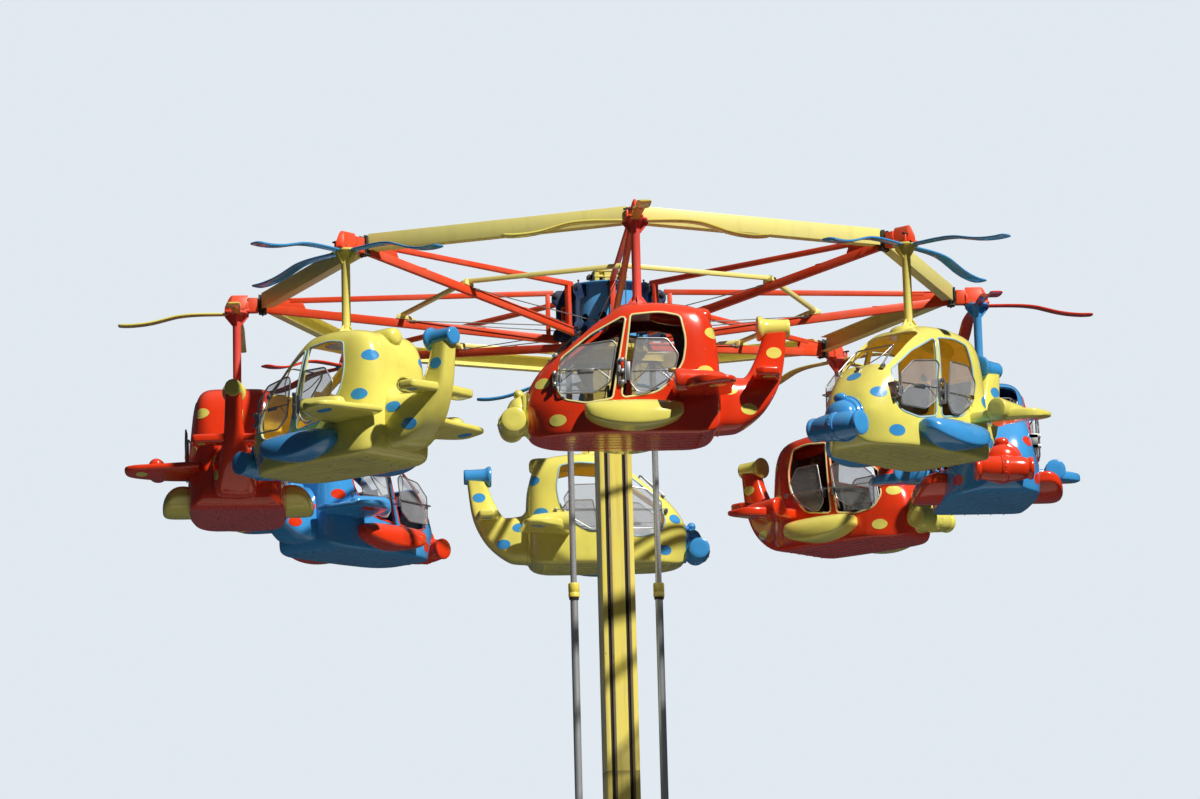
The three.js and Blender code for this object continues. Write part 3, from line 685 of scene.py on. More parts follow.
CHEEK = [(0.424, DRUM_TOP - 0.013), (0.585, DRUM_TOP - 0.013, 0.03), (0.648, DRUM_TOP - 0.055, 0.05),
         (0.648, 11.262, 0.03), (0.602, 11.225, 0.03), (0.602, 10.945, 0.03), (0.64, 10.905, 0.03),
         (0.64, 10.805, 0.01), (0.424, 10.805), (0.424, 10.9), (0.545, 10.96, 0.03),
         (0.545, 11.205, 0.03), (0.424, 11.25)]
cheeks = upright(rounded(CHEEK, 4), 0.03, 0.04, 0.0015, "inside").both_sides()
pins = Shape()
for x, z, radius in ((0.606, 11.325, 0.032), (0.6, 10.86, 0.024)):
    profile = [(radius * 0.5, -0.064), (radius * 0.5, -0.052), (radius, -0.05), (radius, -0.04),
               (radius * 0.6, -0.038)]
    profile += [(r, -y) for r, y in profile[::-1]]
    pins += lathe(profile, 24, "bolt").turned(90, "X").moved(x, 0, z)
for fitting in (cheeks, pins):
    drum += around(fitting.turned(-90), ARM_ROOTS)
drum += square_ring(0.366, 0.372, RING_TOP + 0.027, 11.14, "inside", 72)
drum += around(hex_bolt(0.018, 0.01).moved(RIM - 0.03, 0, DRUM_TOP - 0.0005), RIM_BOLTS)
stud = lathe([(0.02, -0.001), (0.02, 0.008), (0.0085, 0.009)], 16, "washer")
stud += lathe([(0.0085, 0.008), (0.0085, 0.034), (0.012, 0.036), (0.012, 0.05), (0.007, 0.053)], 12, "bolt")
for turn in (-140.5, -35.0, 39.5, 145.0):
    drum += stud.moved(RIM - 0.045, 0, DRUM_TOP).turned(turn)
fit("hub_drum_shell", drum, {"main": drum_blue, "inside": drum_painted_shade, "bolt": dark_iron, "washer": zinc},
    "rotor", "hub_drum")

# Arms. Eight welded trusses of square tube, painted red-orange and pinned between the drum's cheeks.
# The deep lower chord rises outward to a plate and a folded gable over the hanger's flange.
arm_red = paint("arm red", (0.87, 0.072, 0.016), 0.4, 0.38)
ARMS, RISE, CHORD_WIDTH, CHORD_DEPTH = 8, 0.121, 0.058, 0.092
TIP_IN, TIP_LOW, TIP_HIGH = 3.96, 11.18, 11.35


def heading(k):
    """The direction of an arm from the mast; arm 0 points to the front."""
    return math.radians(360 / ARMS * k - 90)


def chord_height(radius):
    """The height of the lower chord's middle at a distance from the mast."""
    return 10.832 + (radius - 0.65) * RISE


def beam(start, end, width, depth, soft=0.006):
    """A square tube between two points, with rounded edges."""
    start, end = Vector(start), Vector(end)
    along = (end - start).normalized()
    side = Vector((0, 0, 1)).cross(along).normalized()
    grid = Matrix((along, side, along.cross(side))).transposed().to_4x4()
    made = block((0, -width / 2, -depth / 2), ((end - start).length, width / 2, depth / 2), soft)
    return made.at(Matrix.Translation(start) @ grid)


arm = beam((0.572, 0, chord_height(0.572)), (3.99, 0, chord_height(3.99)), CHORD_WIDTH,
           CHORD_DEPTH, 0.007)
arm += beam((0.628, 0, 11.366), (3.6, 0, 11.312), 0.056, 0.056)
arm += block((0.668, -0.0285, 10.85), (0.718, 0.0285, 11.35), 0.004)
web = [(3.42, chord_height(3.42) + 0.042), (3.975, chord_height(3.975) + 0.02), (3.975, 11.335),
       (3.48, 11.335)]
arm += upright(web, 0.016, 0.024, 0.0015).both_sides()
arm += upright([(3.46, 11.322), (3.99, 11.322), (3.99, 11.335), (3.46, 11.335)], -0.03, 0.03, 0.002)
for radius in (1.45, 2.34, 3.05):
    height = chord_height(radius)
    arm += block((radius - 0.05, -0.0305, height + 0.034), (radius + 0.05, 0.0305, height + 0.0475), 0.003)
arm += block((TIP_IN, -0.05, TIP_LOW), (4.072, 0.05, TIP_HIGH - 0.006), 0.005)
arm += block((4.06, -0.078, TIP_LOW), (4.336, 0.078, TIP_LOW + 0.022), 0.004)
GABLE = ((TIP_LOW + 0.021, 0.052, 4.06, 4.27), (TIP_LOW + 0.075, 0.049, 4.06, 4.27),
         (TIP_HIGH + 0.004, 0.027, 4.07, 4.25), (TIP_HIGH + 0.03, 0.012, 4.075, 4.246))
arm += bevelled(loft([[(inner, -half, z), (outer, -half, z), (outer + half * 1.3, -0.006, z),
                       (outer, half, z), (inner, half, z)] for z, half, inner, outer in GABLE]), 0.0015)
tip_rib = [(4.068, TIP_LOW + 0.02), (4.115, TIP_LOW + 0.02), (4.075, TIP_HIGH - 0.05),
           (4.068, TIP_HIGH - 0.05)]
for y in (-0.066, 0.058):
    arm += upright(tip_rib, y, y + 0.008, 0.001)
grease_cup = lathe([(0.014, 0.0), (0.014, 0.07), (0.012, 0.074)], 16)
grease_cup += block((-0.014, -0.038, 0.072), (0.014, 0.038, 0.088), 0.003, "cap")
arm += grease_cup.moved(4.262, -0.084, TIP_LOW + 0.014)
tip_bolt = hex_bolt(0.022, 0.012, 0.003)
arm += sum(tip_bolt.moved(x, 0.063, TIP_LOW + 0.022) for x in (4.128, 4.25)).both_sides()
for k in range(ARMS):
    fit(f"arm_{k + 1}_truss", arm, {"main": arm_red, "bolt": zinc, "cap": black.material}, "rotor",
        f"arm_{k + 1}", Matrix.Rotation(heading(k), 4, "Z"))

# Outer octagon. Eight folded sheet-steel channels in pale yellow tie the arm ends together. A dark
# bracket at each arm, with a strap below it, joins two of them.
board_yellow = paint("board yellow", (0.92, 0.84, 0.28), 0.3, 0.3)
strap_dark = paint("strap", (0.045, 0.042, 0.038), 0.5, 0.6, 0.45)
BOARD_LOW, BOARD_HIGH, CORNER = 11.215, 11.393, 3.925
face, half_long = CORNER * math.cos(math.pi / ARMS), CORNER * math.sin(math.pi / ARMS) - 0.06
board = block((face + 0.006, -half_long, BOARD_LOW), (face + 0.021, half_long, BOARD_HIGH), 0.004)
fold = half_long - 0.045
for low, high in ((BOARD_LOW, BOARD_LOW + 0.006), (BOARD_HIGH - 0.006, BOARD_HIGH)):
    board += block((face - 0.095, -fold, low), (face + 0.007, fold, high), 0.002)
seat = chord_height(3.869) - CHORD_DEPTH / 2 * math.hypot(1, RISE) - 0.0003
bracket = block((0.03, -3.955, seat - 0.01), (0.037, -3.862, BOARD_HIGH - 0.012), 0.0015, "strap")
bracket += block((0.0365, -3.95, 11.23), (0.072, -3.935, BOARD_HIGH - 0.02), 0.0015, "strap")
strap = block((-0.066, -3.949, seat - 0.01), (0.066, -3.869, seat), 0.002, "strap")
strap += bracket + bracket.stretched(-1, 1)
strap_bolt = hex_bolt(0.018, 0.01, 0.003).turned(180, "X")
strap_bolts = sum(strap_bolt.moved(x, -3.909, seat - 0.0095) for x in (-0.05, 0.05))
fit("outer_octagon", around(board.turned(180 / ARMS), ARMS) + around(strap, ARMS) + around(strap_bolts, ARMS),
    {"main": board_yellow, "strap": strap_dark, "bolt": dark_iron}, "rotor", "fascia_ring")

# Inner octagon. A light tube ring clamped on the arms' lower chords half way out. Thin steel rods run
# back from its clamps to the drum on both sides and keep the arms evenly spread.
rod_steel = steel("rod steel", (0.5, 0.5, 0.48), 0.38, 0.9, 0.6)
TIE_RADIUS, TIE_HEIGHT, TIE_TUBE = 2.34, 11.132, 0.05
ROD_SPREAD = math.radians(21)


def sweep(path, outline, closed=False, finish="main", normals=None):
    """Carries an outline of (side, out) points along a path without twisting it."""
    path = np.asarray(path, dtype=float)
    ahead, behind = np.roll(path, -1, axis=0), np.roll(path, 1, axis=0)
    if not closed:
        ahead[-1], behind[0] = path[-1], path[0]
    tangents = ahead - behind
    tangents /= np.linalg.norm(tangents, axis=1)[:, None]
    normal = np.cross(tangents[0], (0.0, 0.0, 1.0))
    if np.linalg.norm(normal) < 0.2:
        normal = np.array((1.0, 0.0, 0.0))
    rings = []
    for i, (point, tangent) in enumerate(zip(path, tangents)):
        if normals is not None:
            normal = np.asarray(normals[i], dtype=float)
        normal = normal - tangent * np.dot(normal, tangent)
        normal /= np.linalg.norm(normal)
        side = np.cross(tangent, normal)
        rings.append([point + side * a + normal * b for a, b in outline])
    return loft(rings, closed, finish)


tie = Shape()
for k in range(ARMS):
    ends = [(TIE_RADIUS * math.cos(angle), TIE_RADIUS * math.sin(angle), TIE_HEIGHT)
            for angle in (heading(k), heading(k + 1))]
    tie += beam(*ends, TIE_TUBE, TIE_TUBE, 0.012)
low, high = (chord_height(TIE_RADIUS + x) + 0.0466 for x in (-0.07, 0.07))
clamp = upright([(TIE_RADIUS - 0.07, low), (TIE_RADIUS + 0.07, high), (TIE_RADIUS + 0.06, TIE_HEIGHT + 0.004),
                 (TIE_RADIUS - 0.06, TIE_HEIGHT + 0.004)], -0.036, 0.036, 0.002)
saddle = lathe([(0.0275, -0.02), (0.033, -0.018), (0.033, 0.018), (0.0275, 0.02)], 20).turned(90, "X")
tie += around((clamp + saddle.moved(TIE_RADIUS, 0, TIE_HEIGHT)).turned(-90), ARMS)
rods = Shape()
for side in (-1, 1):
    start = Vector((2.29, side * 0.03, chord_height(2.29) + 0.03))
    angle = side * ROD_SPREAD
    end = Vector((0.442 * math.cos(angle), 0.442 * math.sin(angle), 10.95))
    rods += sweep([start.lerp(end, t / 4) for t in range(5)], circle(0.006, 10), finish="rod")
    for near, far, radius in ((0.02, 0.055, 0.013), (0.955, 0.995, 0.015)):
        rods += sweep([start.lerp(end, near), start.lerp(end, far)], circle(radius, 10), finish="rod")
    eye = block((-0.03, -0.004, -0.018), (0.012, 0.004, 0.018), 0.002, "rod")
    rods += eye.turned(math.degrees(angle)).moved(*end)
clamp_bolt = hex_bolt(0.02, 0.011, 0.003).moved(TIE_RADIUS, 0.024, TIE_HEIGHT + 0.004)
fit("inner_octagon", tie + around(rods.turned(-90), ARMS) + around(clamp_bolt.turned(-90), ARMS),
    {"main": board_yellow, "rod": rod_steel, "bolt": dark_iron}, "rotor", "tie_ring")

# Hangers. A round pole with a gusseted flange hangs each gondola rigidly from its arm, painted in the
# gondola's colour. Three drooping glass-fibre blades in the second colour are clamped on under the arm.
COLOURS = {"red": (0.85, 0.045, 0.008), "yellow": (0.92, 0.845, 0.175), "blue": (0.055, 0.355, 0.82)}
POLES = {"red": (0.9, 0.095, 0.07), "yellow": (0.91, 0.8, 0.2), "blue": (0.07, 0.38, 0.82)}
ORDER = ["red", "yellow", "blue", "red", "yellow", "blue", "red", "yellow"]
SECOND = {"red": "yellow", "yellow": "blue", "blue": "red"}
HANG_RADIUS, ROOF_PAD = 4.2, 10.262
FOOT, HUB = ROOF_PAD + 0.0003, TIP_LOW - 0.0003
PLACES = []
for angle in map(heading, range(ARMS)):
    PLACES.append(Matrix.Translation((HANG_RADIUS * math.cos(angle), HANG_RADIUS * math.sin(angle), 0))
                  @ Matrix.Rotation(angle - math.pi / 2, 4, "Z"))


def gelcoat(name, colour, grime=0.5, glow=0.0):
    """Glossy pigmented gelcoat over glass fibre: slight ripple, sun-fade, rain marks and scuffs."""
    made = Finish(name, coat_weight=0.55, coat_roughness=0.07, emission_strength=glow)
    broad = made.noise(1.7, 3.0)
    cloudy = made.noise(7.0, 4.0)
    fine = made.noise(60.0, 3.0)
    runs = made.ease(made.noise(14.0, 3.0, (1.0, 1.0, 0.08)), 0.53, 0.76)
    base = made.blend(made.ease(broad, 0.35, 0.7), colour, scaled(colour, 0.86))
    base = made.blend(made.facing_up(0.15, 0.95) * 0.14, base, towards(colour, (0.9, 0.88, 0.84), 0.35))
    dirt_and_dark_underside = made.ease(cloudy + runs * 0.3 + fine * 0.22, 0.66, 1.02) * (0.3 * grime)
    # Faces that look down are made a little darker as well.
    dirt_and_dark_underside = dirt_and_dark_underside + made.facing_up(-0.25, -0.95) * (0.04 * grime)
    base = made.blend(dirt_and_dark_underside, base, towards(GRIME, colour, 0.35))
    scuffs = made.ease(made.noise(90.0, 2.0, (1.0, 1.0, 0.25)), 0.7, 0.76) * made.ease(cloudy, 0.52, 0.62)
    base = made.blend(scuffs * 0.45, base, towards(colour, (0.8, 0.78, 0.72), 0.7))
    made.feed("Base Color", base)
    made.feed("Roughness", cloudy * 0.14 + dirt_and_dark_underside * 0.45 + scuffs * 0.25 + runs * 0.05 + 0.13)
    made.raise_up(broad * 3.0 + cloudy * 0.6 + fine * 0.04, 0.2, 0.004)
    # With glow, the surface also emits its own colour: a painted glow.
    if glow:
        made.feed("Emission Color", base)
    return made.material


gelcoats = {name: gelcoat(f"{name} gelcoat", colour) for name, colour in COLOURS.items()}
paints = {name: paint(f"{name} paint", colour, 0.4, 0.4) for name, colour in POLES.items()}
pole = lathe([(0.118, FOOT), (0.118, FOOT + 0.01), (0.114, FOOT + 0.014), (0.086, FOOT + 0.016),
              (0.047, FOOT + 0.06), (0.047, HUB - 0.11), (0.082, HUB - 0.026), (0.132, HUB - 0.022),
              (0.137, HUB - 0.018), (0.137, HUB - 0.003), (0.134, HUB)], 40)
foot_rib = [(0.044, 0.012), (0.112, 0.012), (0.11, 0.02), (0.052, 0.1), (0.044, 0.1)]
head_rib = [(0.044, -0.15), (0.052, -0.15), (0.134, -0.048), (0.136, -0.02), (0.044, -0.02)]
for rib, level, thick in ((foot_rib, FOOT, 0.006), (head_rib, HUB, 0.007)):
    pole += around(upright([(x, level + z) for x, z in rib], -thick, thick, 0.0015), 4)
hanger = pole.called("pole")
hanger += around(hex_bolt(0.014, 0.008, 0.002).moved(0.101, 0, FOOT + 0.0145).turned(45), 4)
head_bolt = hex_bolt(0.022, 0.012, 0.003).turned(180, "X").moved(0.11, 0, HUB - 0.022)
hanger += around(head_bolt.turned(22.5) + head_bolt.turned(-22.5), 4)


def through(knots, at):
    """A smooth curve through (x, y) knots that never overshoots between them."""
    xs, ys = (np.array(v, dtype=float) for v in zip(*knots))
    steps, slopes = np.diff(xs), np.diff(ys) / np.diff(xs)
    rates = np.zeros(len(xs))
    for i in range(1, len(xs) - 1):
        if slopes[i - 1] * slopes[i] > 0:
            w1, w2 = 2 * steps[i] + steps[i - 1], steps[i] + 2 * steps[i - 1]
            rates[i] = (w1 + w2) / (w1 / slopes[i - 1] + w2 / slopes[i])
    rates[0], rates[-1] = slopes[0], slopes[-1]
    at = np.clip(np.asarray(at, dtype=float), xs[0], xs[-1])
    i = np.clip(np.searchsorted(xs, at) - 1, 0, len(steps) - 1)
    t, h = (at - xs[i]) / steps[i], steps[i]
    return ((1 + 2 * t) * (1 - t) ** 2 * ys[i] + t * (1 - t) ** 2 * h * rates[i]
            + t * t * (3 - 2 * t) * ys[i + 1] + t * t * (t - 1) * h * rates[i + 1])


def squared(value, power):
    """A sine or cosine raised to a power below 1, which squares up a circle."""
    return np.sign(value) * abs(value) ** power


DROOP = [(0.1, 0.0), (0.34, 0.0), (0.5, -0.006), (0.66, -0.028), (0.8, -0.074), (0.94, -0.122),
         (1.08, -0.152), (1.22, -0.165), (1.334, -0.163)]
WIDTH = [(0.1, 0.046), (0.45, 0.057), (0.75, 0.07), (1.29, 0.073), (1.315, 0.069), (1.328, 0.06),
         (1.334, 0.048)]
reach = np.append(np.linspace(0.1, 1.3, 30), (1.312, 1.322, 1.33, 1.334))


def blade(fall, longer):
    """One blade along X, with its share of the full droop and of the full length."""
    rings = []
    for x, z, wide in zip(reach, through(DROOP, reach), through(WIDTH, reach)):
        middle, thick = HUB - 0.017 + z * fall, 0.0135 - 0.006 * max(0.0, (x - 1.29) / 0.044)
        rings.append([(x, wide * squared(c, 0.4), middle + thick * squared(s, 0.55))
                      for c, s in circle(1.0, 24)])
    return loft(rings, finish="blade").stretched(longer, 1)


hanger += blade(0.88, 1.03) + blade(0.72, 0.994).turned(90) + blade(1.06, 1.03).turned(180)
for k, place in enumerate(PLACES):
    name = ORDER[k]
    looks = {"pole": paints[name], "blade": gelcoats[SECOND[name]], "bolt": zinc}
    fit(f"hanger_{k + 1}_pole_and_blades", hanger, looks, "rotor", f"hanger_{k + 1}", place)

# Gondolas. Each hull is a glass-fibre moulding in two halves, 28 mm thick here, with two door openings
# on each side and an open windscreen. A trunk for the tail, wings, stabilisers and floats are bolted
# on; the openings are edged with a bead of trim.
HULL_TOP = [(-0.797, 9.5), (-0.79, 9.66), (-0.78, 9.8), (-0.745, 9.965), (-0.69, 10.09), (-0.6, 10.17),
            (-0.45, 10.212), (-0.1, 10.24), (0.12, 10.235), (0.36, 10.13), (0.58, 9.99), (0.86, 9.74),
            (1.02, 9.57), (1.12, 9.42), (1.152, 9.34)]
HULL_LOW = [(-0.797, 9.05), (-0.78, 8.97), (-0.74, 8.905), (-0.66, 8.865), (-0.5, 8.846), (0.85, 8.846),
            (1.0, 8.855), (1.1, 8.885), (1.152, 8.94)]
HULL_HALF = [(-0.797, 0.32), (-0.78, 0.375), (-0.74, 0.43), (-0.66, 0.488), (-0.5, 0.527), (-0.2, 0.545),
             (0.2, 0.548), (0.6, 0.515), (0.88, 0.452), (1.02, 0.385), (1.12, 0.31), (1.152, 0.265)]
WALL, FLOOR, WAIST = 0.028, 9.0, 9.45


def oval(half, low, high, top_power, low_power, count, waist=None):
    """A squared oval in Y and Z, with points close together where it bends most."""
    middle = min(WAIST, low + 0.47 * (high - low)) if waist is None else waist
    dense = []
    for step in range(720):
        c, s = math.cos(step * math.pi / 360), math.sin(step * math.pi / 360)
        power, rise = (top_power, high - middle) if s >= 0 else (low_power, middle - low)
        dense.append((half * squared(c, 2 / power), middle + rise * squared(s, 2 / power)))
    dense = np.array(dense + dense[:1])
    runs = np.diff(dense, axis=0)
    headings = np.unwrap(np.arctan2(runs[:, 1], runs[:, 0]))
    bends = np.abs(np.diff(np.append(headings, headings[0] + 2 * math.pi)))
    weight = np.concatenate([[0], np.cumsum(np.linalg.norm(runs, axis=1) + 0.16 * bends)])
    spread = np.arange(count) * weight[-1] / count
    return np.stack([np.interp(spread, weight, dense[:, i]) for i in range(2)], axis=1)


def hull_skin(stations, count, inset=0.0, finish="body"):
    """The hull's outer skin, or with an inset the inner one, which stops at the cabin floor."""
    rings = []
    tops, lows, halves = (through(knots, stations) for knots in (HULL_TOP, HULL_LOW, HULL_HALF))
    for x, high, low, half in zip(stations, tops, lows, halves):
        low = FLOOR if inset else low
        forward = min(max((x + 0.1) / 0.7, 0.0), 1.0)
        section = oval(half - inset, low, high - inset, 7.0 - 3.4 * forward, 22.0, count)
        climb = np.clip((section[:, 1] - 9.1) / (high - 9.1), 0.0, 1.0) if high > 9.2 else 0.0
        section[:, 0] *= 1 - (0.18 + 0.04 * forward) * climb ** (1.5 - 0.3 * forward)
        nose = np.clip((x - 0.72) / 0.43, 0.0, 1.0)
        depth = np.clip((9.2 - section[:, 1]) / (9.2 - low), 0.0, 1.0)
        section[:, 0] *= 1 - 0.42 * nose ** 2 * depth
        rings.append([(x, y, z) for y, z in section])
    return loft(rings, finish=finish)


rear_end = [-0.797, -0.793, -0.787, -0.778, -0.765, -0.745, -0.72, -0.69, -0.65, -0.6, -0.54]
front_end = [1.0, 1.03, 1.06, 1.085, 1.105, 1.122, 1.136, 1.146, 1.152]
outer = hull_skin([*rear_end, *np.linspace(-0.48, 0.96, 34), *front_end], 84)
inner = hull_skin([-0.735, -0.7, -0.65, -0.58, *np.linspace(-0.5, 0.92, 20), 0.98, 1.03, 1.06], 48, WALL,
                  "inside")
FRONT_DOOR = [(0.16, 10.07, 0.02), (0.5, 9.89, 0.4), (0.8, 9.66, 0.05), (0.88, 9.36, 0.1),
              (0.8, 9.215, 0.12), (0.58, 9.17, 0.2), (0.32, 9.21, 0.03)]
REAR_DOOR = [(0.1, 10.075, 0.02), (-0.19, 10.1, 0.5), (-0.39, 10.06, 0.05), (-0.44, 9.8, 0.5),
             (-0.4, 9.56, 0.3), (-0.16, 9.27, 0.25), (0.22, 9.215, 0.03)]
SCREEN = [(0.33, 0.31, 0.06), (0.33, -0.31, 0.06), (-0.36, -0.345, 0.05), (-0.36, 0.345, 0.05)]
SCREEN_RUN, SCREEN_FALL = 0.59, 0.42
slope = Vector((SCREEN_RUN, 0, -SCREEN_FALL)).normalized()
screen_grid = Matrix((slope, (0, 1, 0), slope.cross((0, 1, 0)))).transposed().to_4x4()
screen_place = Matrix.Translation((0.6, 0, 9.95)) @ screen_grid
doors = [rounded(door, 7) for door in (FRONT_DOOR, REAR_DOOR)]
hull = carved(outer, inner, *(upright(door, -0.8, 0.8, finish="body") for door in doors),
              slab(rounded(SCREEN, 6), -0.25, 0.25, finish="body").at(screen_place))


def surface(shape):
    """A shape as a tree that rays can be sent at."""
    return BVHTree.FromPolygons([Vector(p) for p in shape.points], shape.faces)


fine_hull = surface(hull_skin([*rear_end, *np.linspace(-0.5, 0.98, 110), *front_end], 200))


def bead(path, normals):
    """A half-round edge trim pressed along a closed path on the hull."""
    normals = np.array(normals)
    for _ in range(3):
        normals = np.roll(normals, 1, axis=0) + normals * 2 + np.roll(normals, -1, axis=0)
        normals /= np.linalg.norm(normals, axis=1)[:, None]
    wide, sunk, proud = 0.0095, -0.006, 0.007
    profile = [(-wide, sunk), (-wide, proud * 0.45), (-wide * 0.62, proud * 0.92), (0, proud),
               (wide * 0.62, proud * 0.92), (wide, proud * 0.45), (wide, sunk)]
    return sweep(path, profile, True, "edging", normals)


def spaced(outline, count=None, step=0.022):
    """Points at even steps round a closed outline."""
    points = np.array([*outline, outline[0]], dtype=float)
    along = np.concatenate([[0], np.cumsum(np.linalg.norm(np.diff(points, axis=0), axis=1))])
    count = count or int(along[-1] / step)
    spread = np.arange(count) * along[-1] / count
    return np.stack([np.interp(spread, along, points[:, i]) for i in range(2)], axis=1)


def grown(outline, by):
    """A closed outline pushed out by a distance."""
    points = np.array(outline, dtype=float)
    tangents = np.roll(points, -1, axis=0) - np.roll(points, 1, axis=0)
    tangents /= np.maximum(np.linalg.norm(tangents, axis=1), 1e-9)[:, None]
    area = np.sum(points[:, 0] * np.roll(points[:, 1], -1) - np.roll(points[:, 0], -1) * points[:, 1])
    return points + math.copysign(by, by * area) * np.stack([tangents[:, 1], -tangents[:, 0]], axis=1)


beads = Shape()
for door in doors:
    hits = [fine_hull.ray_cast(Vector((x, 1.5, z)), Vector((0, -1, 0)))
            for x, z in grown(spaced(door), 0.008)]
    beads += bead([hit for hit, *_ in hits], [normal for _, normal, *_ in hits]).both_sides()

# The underside has five thin moulded lines and small drain holes, drawn as black discs of painted shade;
# the roof has a pad under the pole and a low cowling behind it, all laminated into the hull.
ridge = slab(rectangle((-0.6, 0.92), (-0.004, 0.004), 0.003), 8.8435, 8.856, 0.0015, "body")
hull += repeated(ridge.moved(0, -0.3, 0), 5, shift=(0, 0.15, 0))
drain = lathe([(0.012, 8.8445), (0.012, 8.856)], 14, "dark")
for x, y in ((-0.4, -0.225), (-0.4, 0.225), (0.05, -0.075), (0.05, 0.225), (0.52, -0.225), (0.52, 0.075)):
    hull += drain.moved(x, y, 0)
PAD = ((10.15, 1.22), (10.222, 1.16), (10.24, 1.08), (10.254, 0.99), (ROOF_PAD - 0.002, 0.94),
       (ROOF_PAD, 0.92))
hull += loft([[(0.012 + 0.195 * share * squared(c, 0.9), 0.15 * share * squared(s, 0.9), height)
               for c, s in circle(1.0, 36)] for height, share in PAD], finish="body")
COWLING = ((-0.12, 0.04, 10.16), (-0.2, 0.066, 10.155), (-0.32, 0.086, 10.148), (-0.48, 0.097, 10.141),
           (-0.62, 0.102, 10.136), (-0.68, 0.1, 10.134), (-0.718, 0.09, 10.133), (-0.74, 0.068, 10.133),
           (-0.749, 0.038, 10.133))
hull += loft([[(x, radius * 1.04 * c, height + radius * s) for c, s in circle(1.0, 28)]
              for x, radius, height in COWLING], finish="body")

# Tail trunk: a tapering moulding that turns up to the fin, joined to the hull at a raised seam. The
# tail rotor's housing at the top is a ribbed cone in the trim colour.
TAIL = [(-0.74, 8.92, -0.74, 9.7, 0.262), (-0.95, 8.935, -0.865, 9.51, 0.248),
        (-1.28, 9.165, -1.045, 9.492, 0.17), (-1.462, 9.54, -1.192, 9.7, 0.108),
        (-1.516, 9.96, -1.278, 9.94, 0.09)]
rows = np.linspace(0, len(TAIL) - 1, 30)
rings = []
for x0, z0, x1, z1, half in zip(*(through(list(enumerate(values)), rows) for values in zip(*TAIL))):
    section = oval(half, 0.0, 1.0, 2.8, 4.5, 48, 0.45)
    rings.append([(x0 + (x1 - x0) * t, y, z0 + (z1 - z0) * t) for y, t in section])
trunk = loft(rings, finish="body")
seam_ring = np.array(rings[2])
seam_out = (seam_ring - seam_ring.mean(axis=0)) * (0, 1, 1)
tail = trunk + sweep(seam_ring, circle(0.009, 8), True, "body", seam_out)
housing = lathe([(0.06, -0.01), (0.112, -0.008), (0.124, -0.002), (0.129, 0.01), (0.129, 0.026),
                 (0.123, 0.038), (0.112, 0.052), (0.103, 0.072), (0.098, 0.11), (0.094, 0.2),
                 (0.092, 0.26), (0.093, 0.29), (0.094, 0.312), (0.091, 0.322), (0.084, 0.328),
                 (0.06, 0.3295), (0.02, 0.3295)], 36, "trim").turned(-90, "Y").moved(-1.225, 0, 10.0135)

# Wings, stabilisers and nacelles: foam-cored plates with soft edges, bolted on through the hull, with
# a tapered nacelle on top of each wing.
LEADING = [(0.4, -0.275), (0.72, -0.3), (0.94, -0.385), (1.1, -0.47), (1.18, -0.545), (1.21, -0.62),
           (1.216, -0.66)]
TRAILING = [(0.4, -0.905), (0.56, -0.89), (0.77, -0.88), (1.05, -0.88), (1.16, -0.85),
            (1.205, -0.8), (1.216, -0.74)]
PLUMP = [(0.4, 1.12), (0.9, 1.0), (1.12, 0.88), (1.18, 0.74), (1.207, 0.5), (1.216, 0.22)]
spans = np.append(np.linspace(0.4, 1.16, 18), (1.175, 1.188, 1.198, 1.206, 1.212, 1.216))
rings = []
for y, lead, trail, plump in zip(spans, *(through(knots, spans) for knots in (LEADING, TRAILING, PLUMP))):
    ring = []
    for c, s in circle(1.0, 36):
        share = 0.5 - 0.5 * squared(c, 0.42)
        thick, middle = (0.067 - 0.029 * share) * plump, 9.262 + (0.036 - 0.03 * (y - 0.4) / 0.8) * share
        ring.append((lead + (trail - lead) * share, y, middle + thick * squared(s, 0.42)))
    rings.append(ring)
wing = loft(rings, finish="body")
STUB = [(-1.15, 0.06), (-1.15, 0.43, 0.05), (-1.215, 0.475, 0.05), (-1.392, 0.452, 0.05),
        (-1.425, 0.11, 0.03), (-1.36, 0.06)]
stub = slab(rounded(STUB, 6), 9.442, 9.534, 0.037, "body", 4).both_sides()
nacelle = lathe([(0.05, 0.0), (0.106, 0.001), (0.114, 0.005), (0.118, 0.016), (0.117, 0.05),
                 (0.108, 0.15), (0.094, 0.33), (0.083, 0.43), (0.073, 0.475), (0.058, 0.503),
                 (0.035, 0.516), (0.01, 0.52)], 32, "body").turned(-90, "Y").moved(-0.285, 0.87, 9.312)
wings = (wing + nacelle).both_sides() + stub

# Floats: hollow moulded pontoons in the trim colour, one on each side under the doors, with a domed
# top and a flat boat bottom, bolted through the hull. One gondola has lost its inner float.
rings = []
for t in np.linspace(0.0, math.pi, 34):
    rise = max(math.sin(t), 0.02)
    low, high = 8.864 + 0.18 * (1 - rise ** 1.2), 9.17 - 0.07 * (1 - rise ** 0.5)
    section = oval(0.24 * rise ** 0.6, low, high, 2.2, 4.5, 44, low + 0.28 * (high - low))
    rings.append([(0.105 + 0.499 * math.cos(t), 0.6 + y, z) for y, z in section])
outer_float = loft(rings, finish="trim")
inner_float = outer_float.stretched(1, -1)

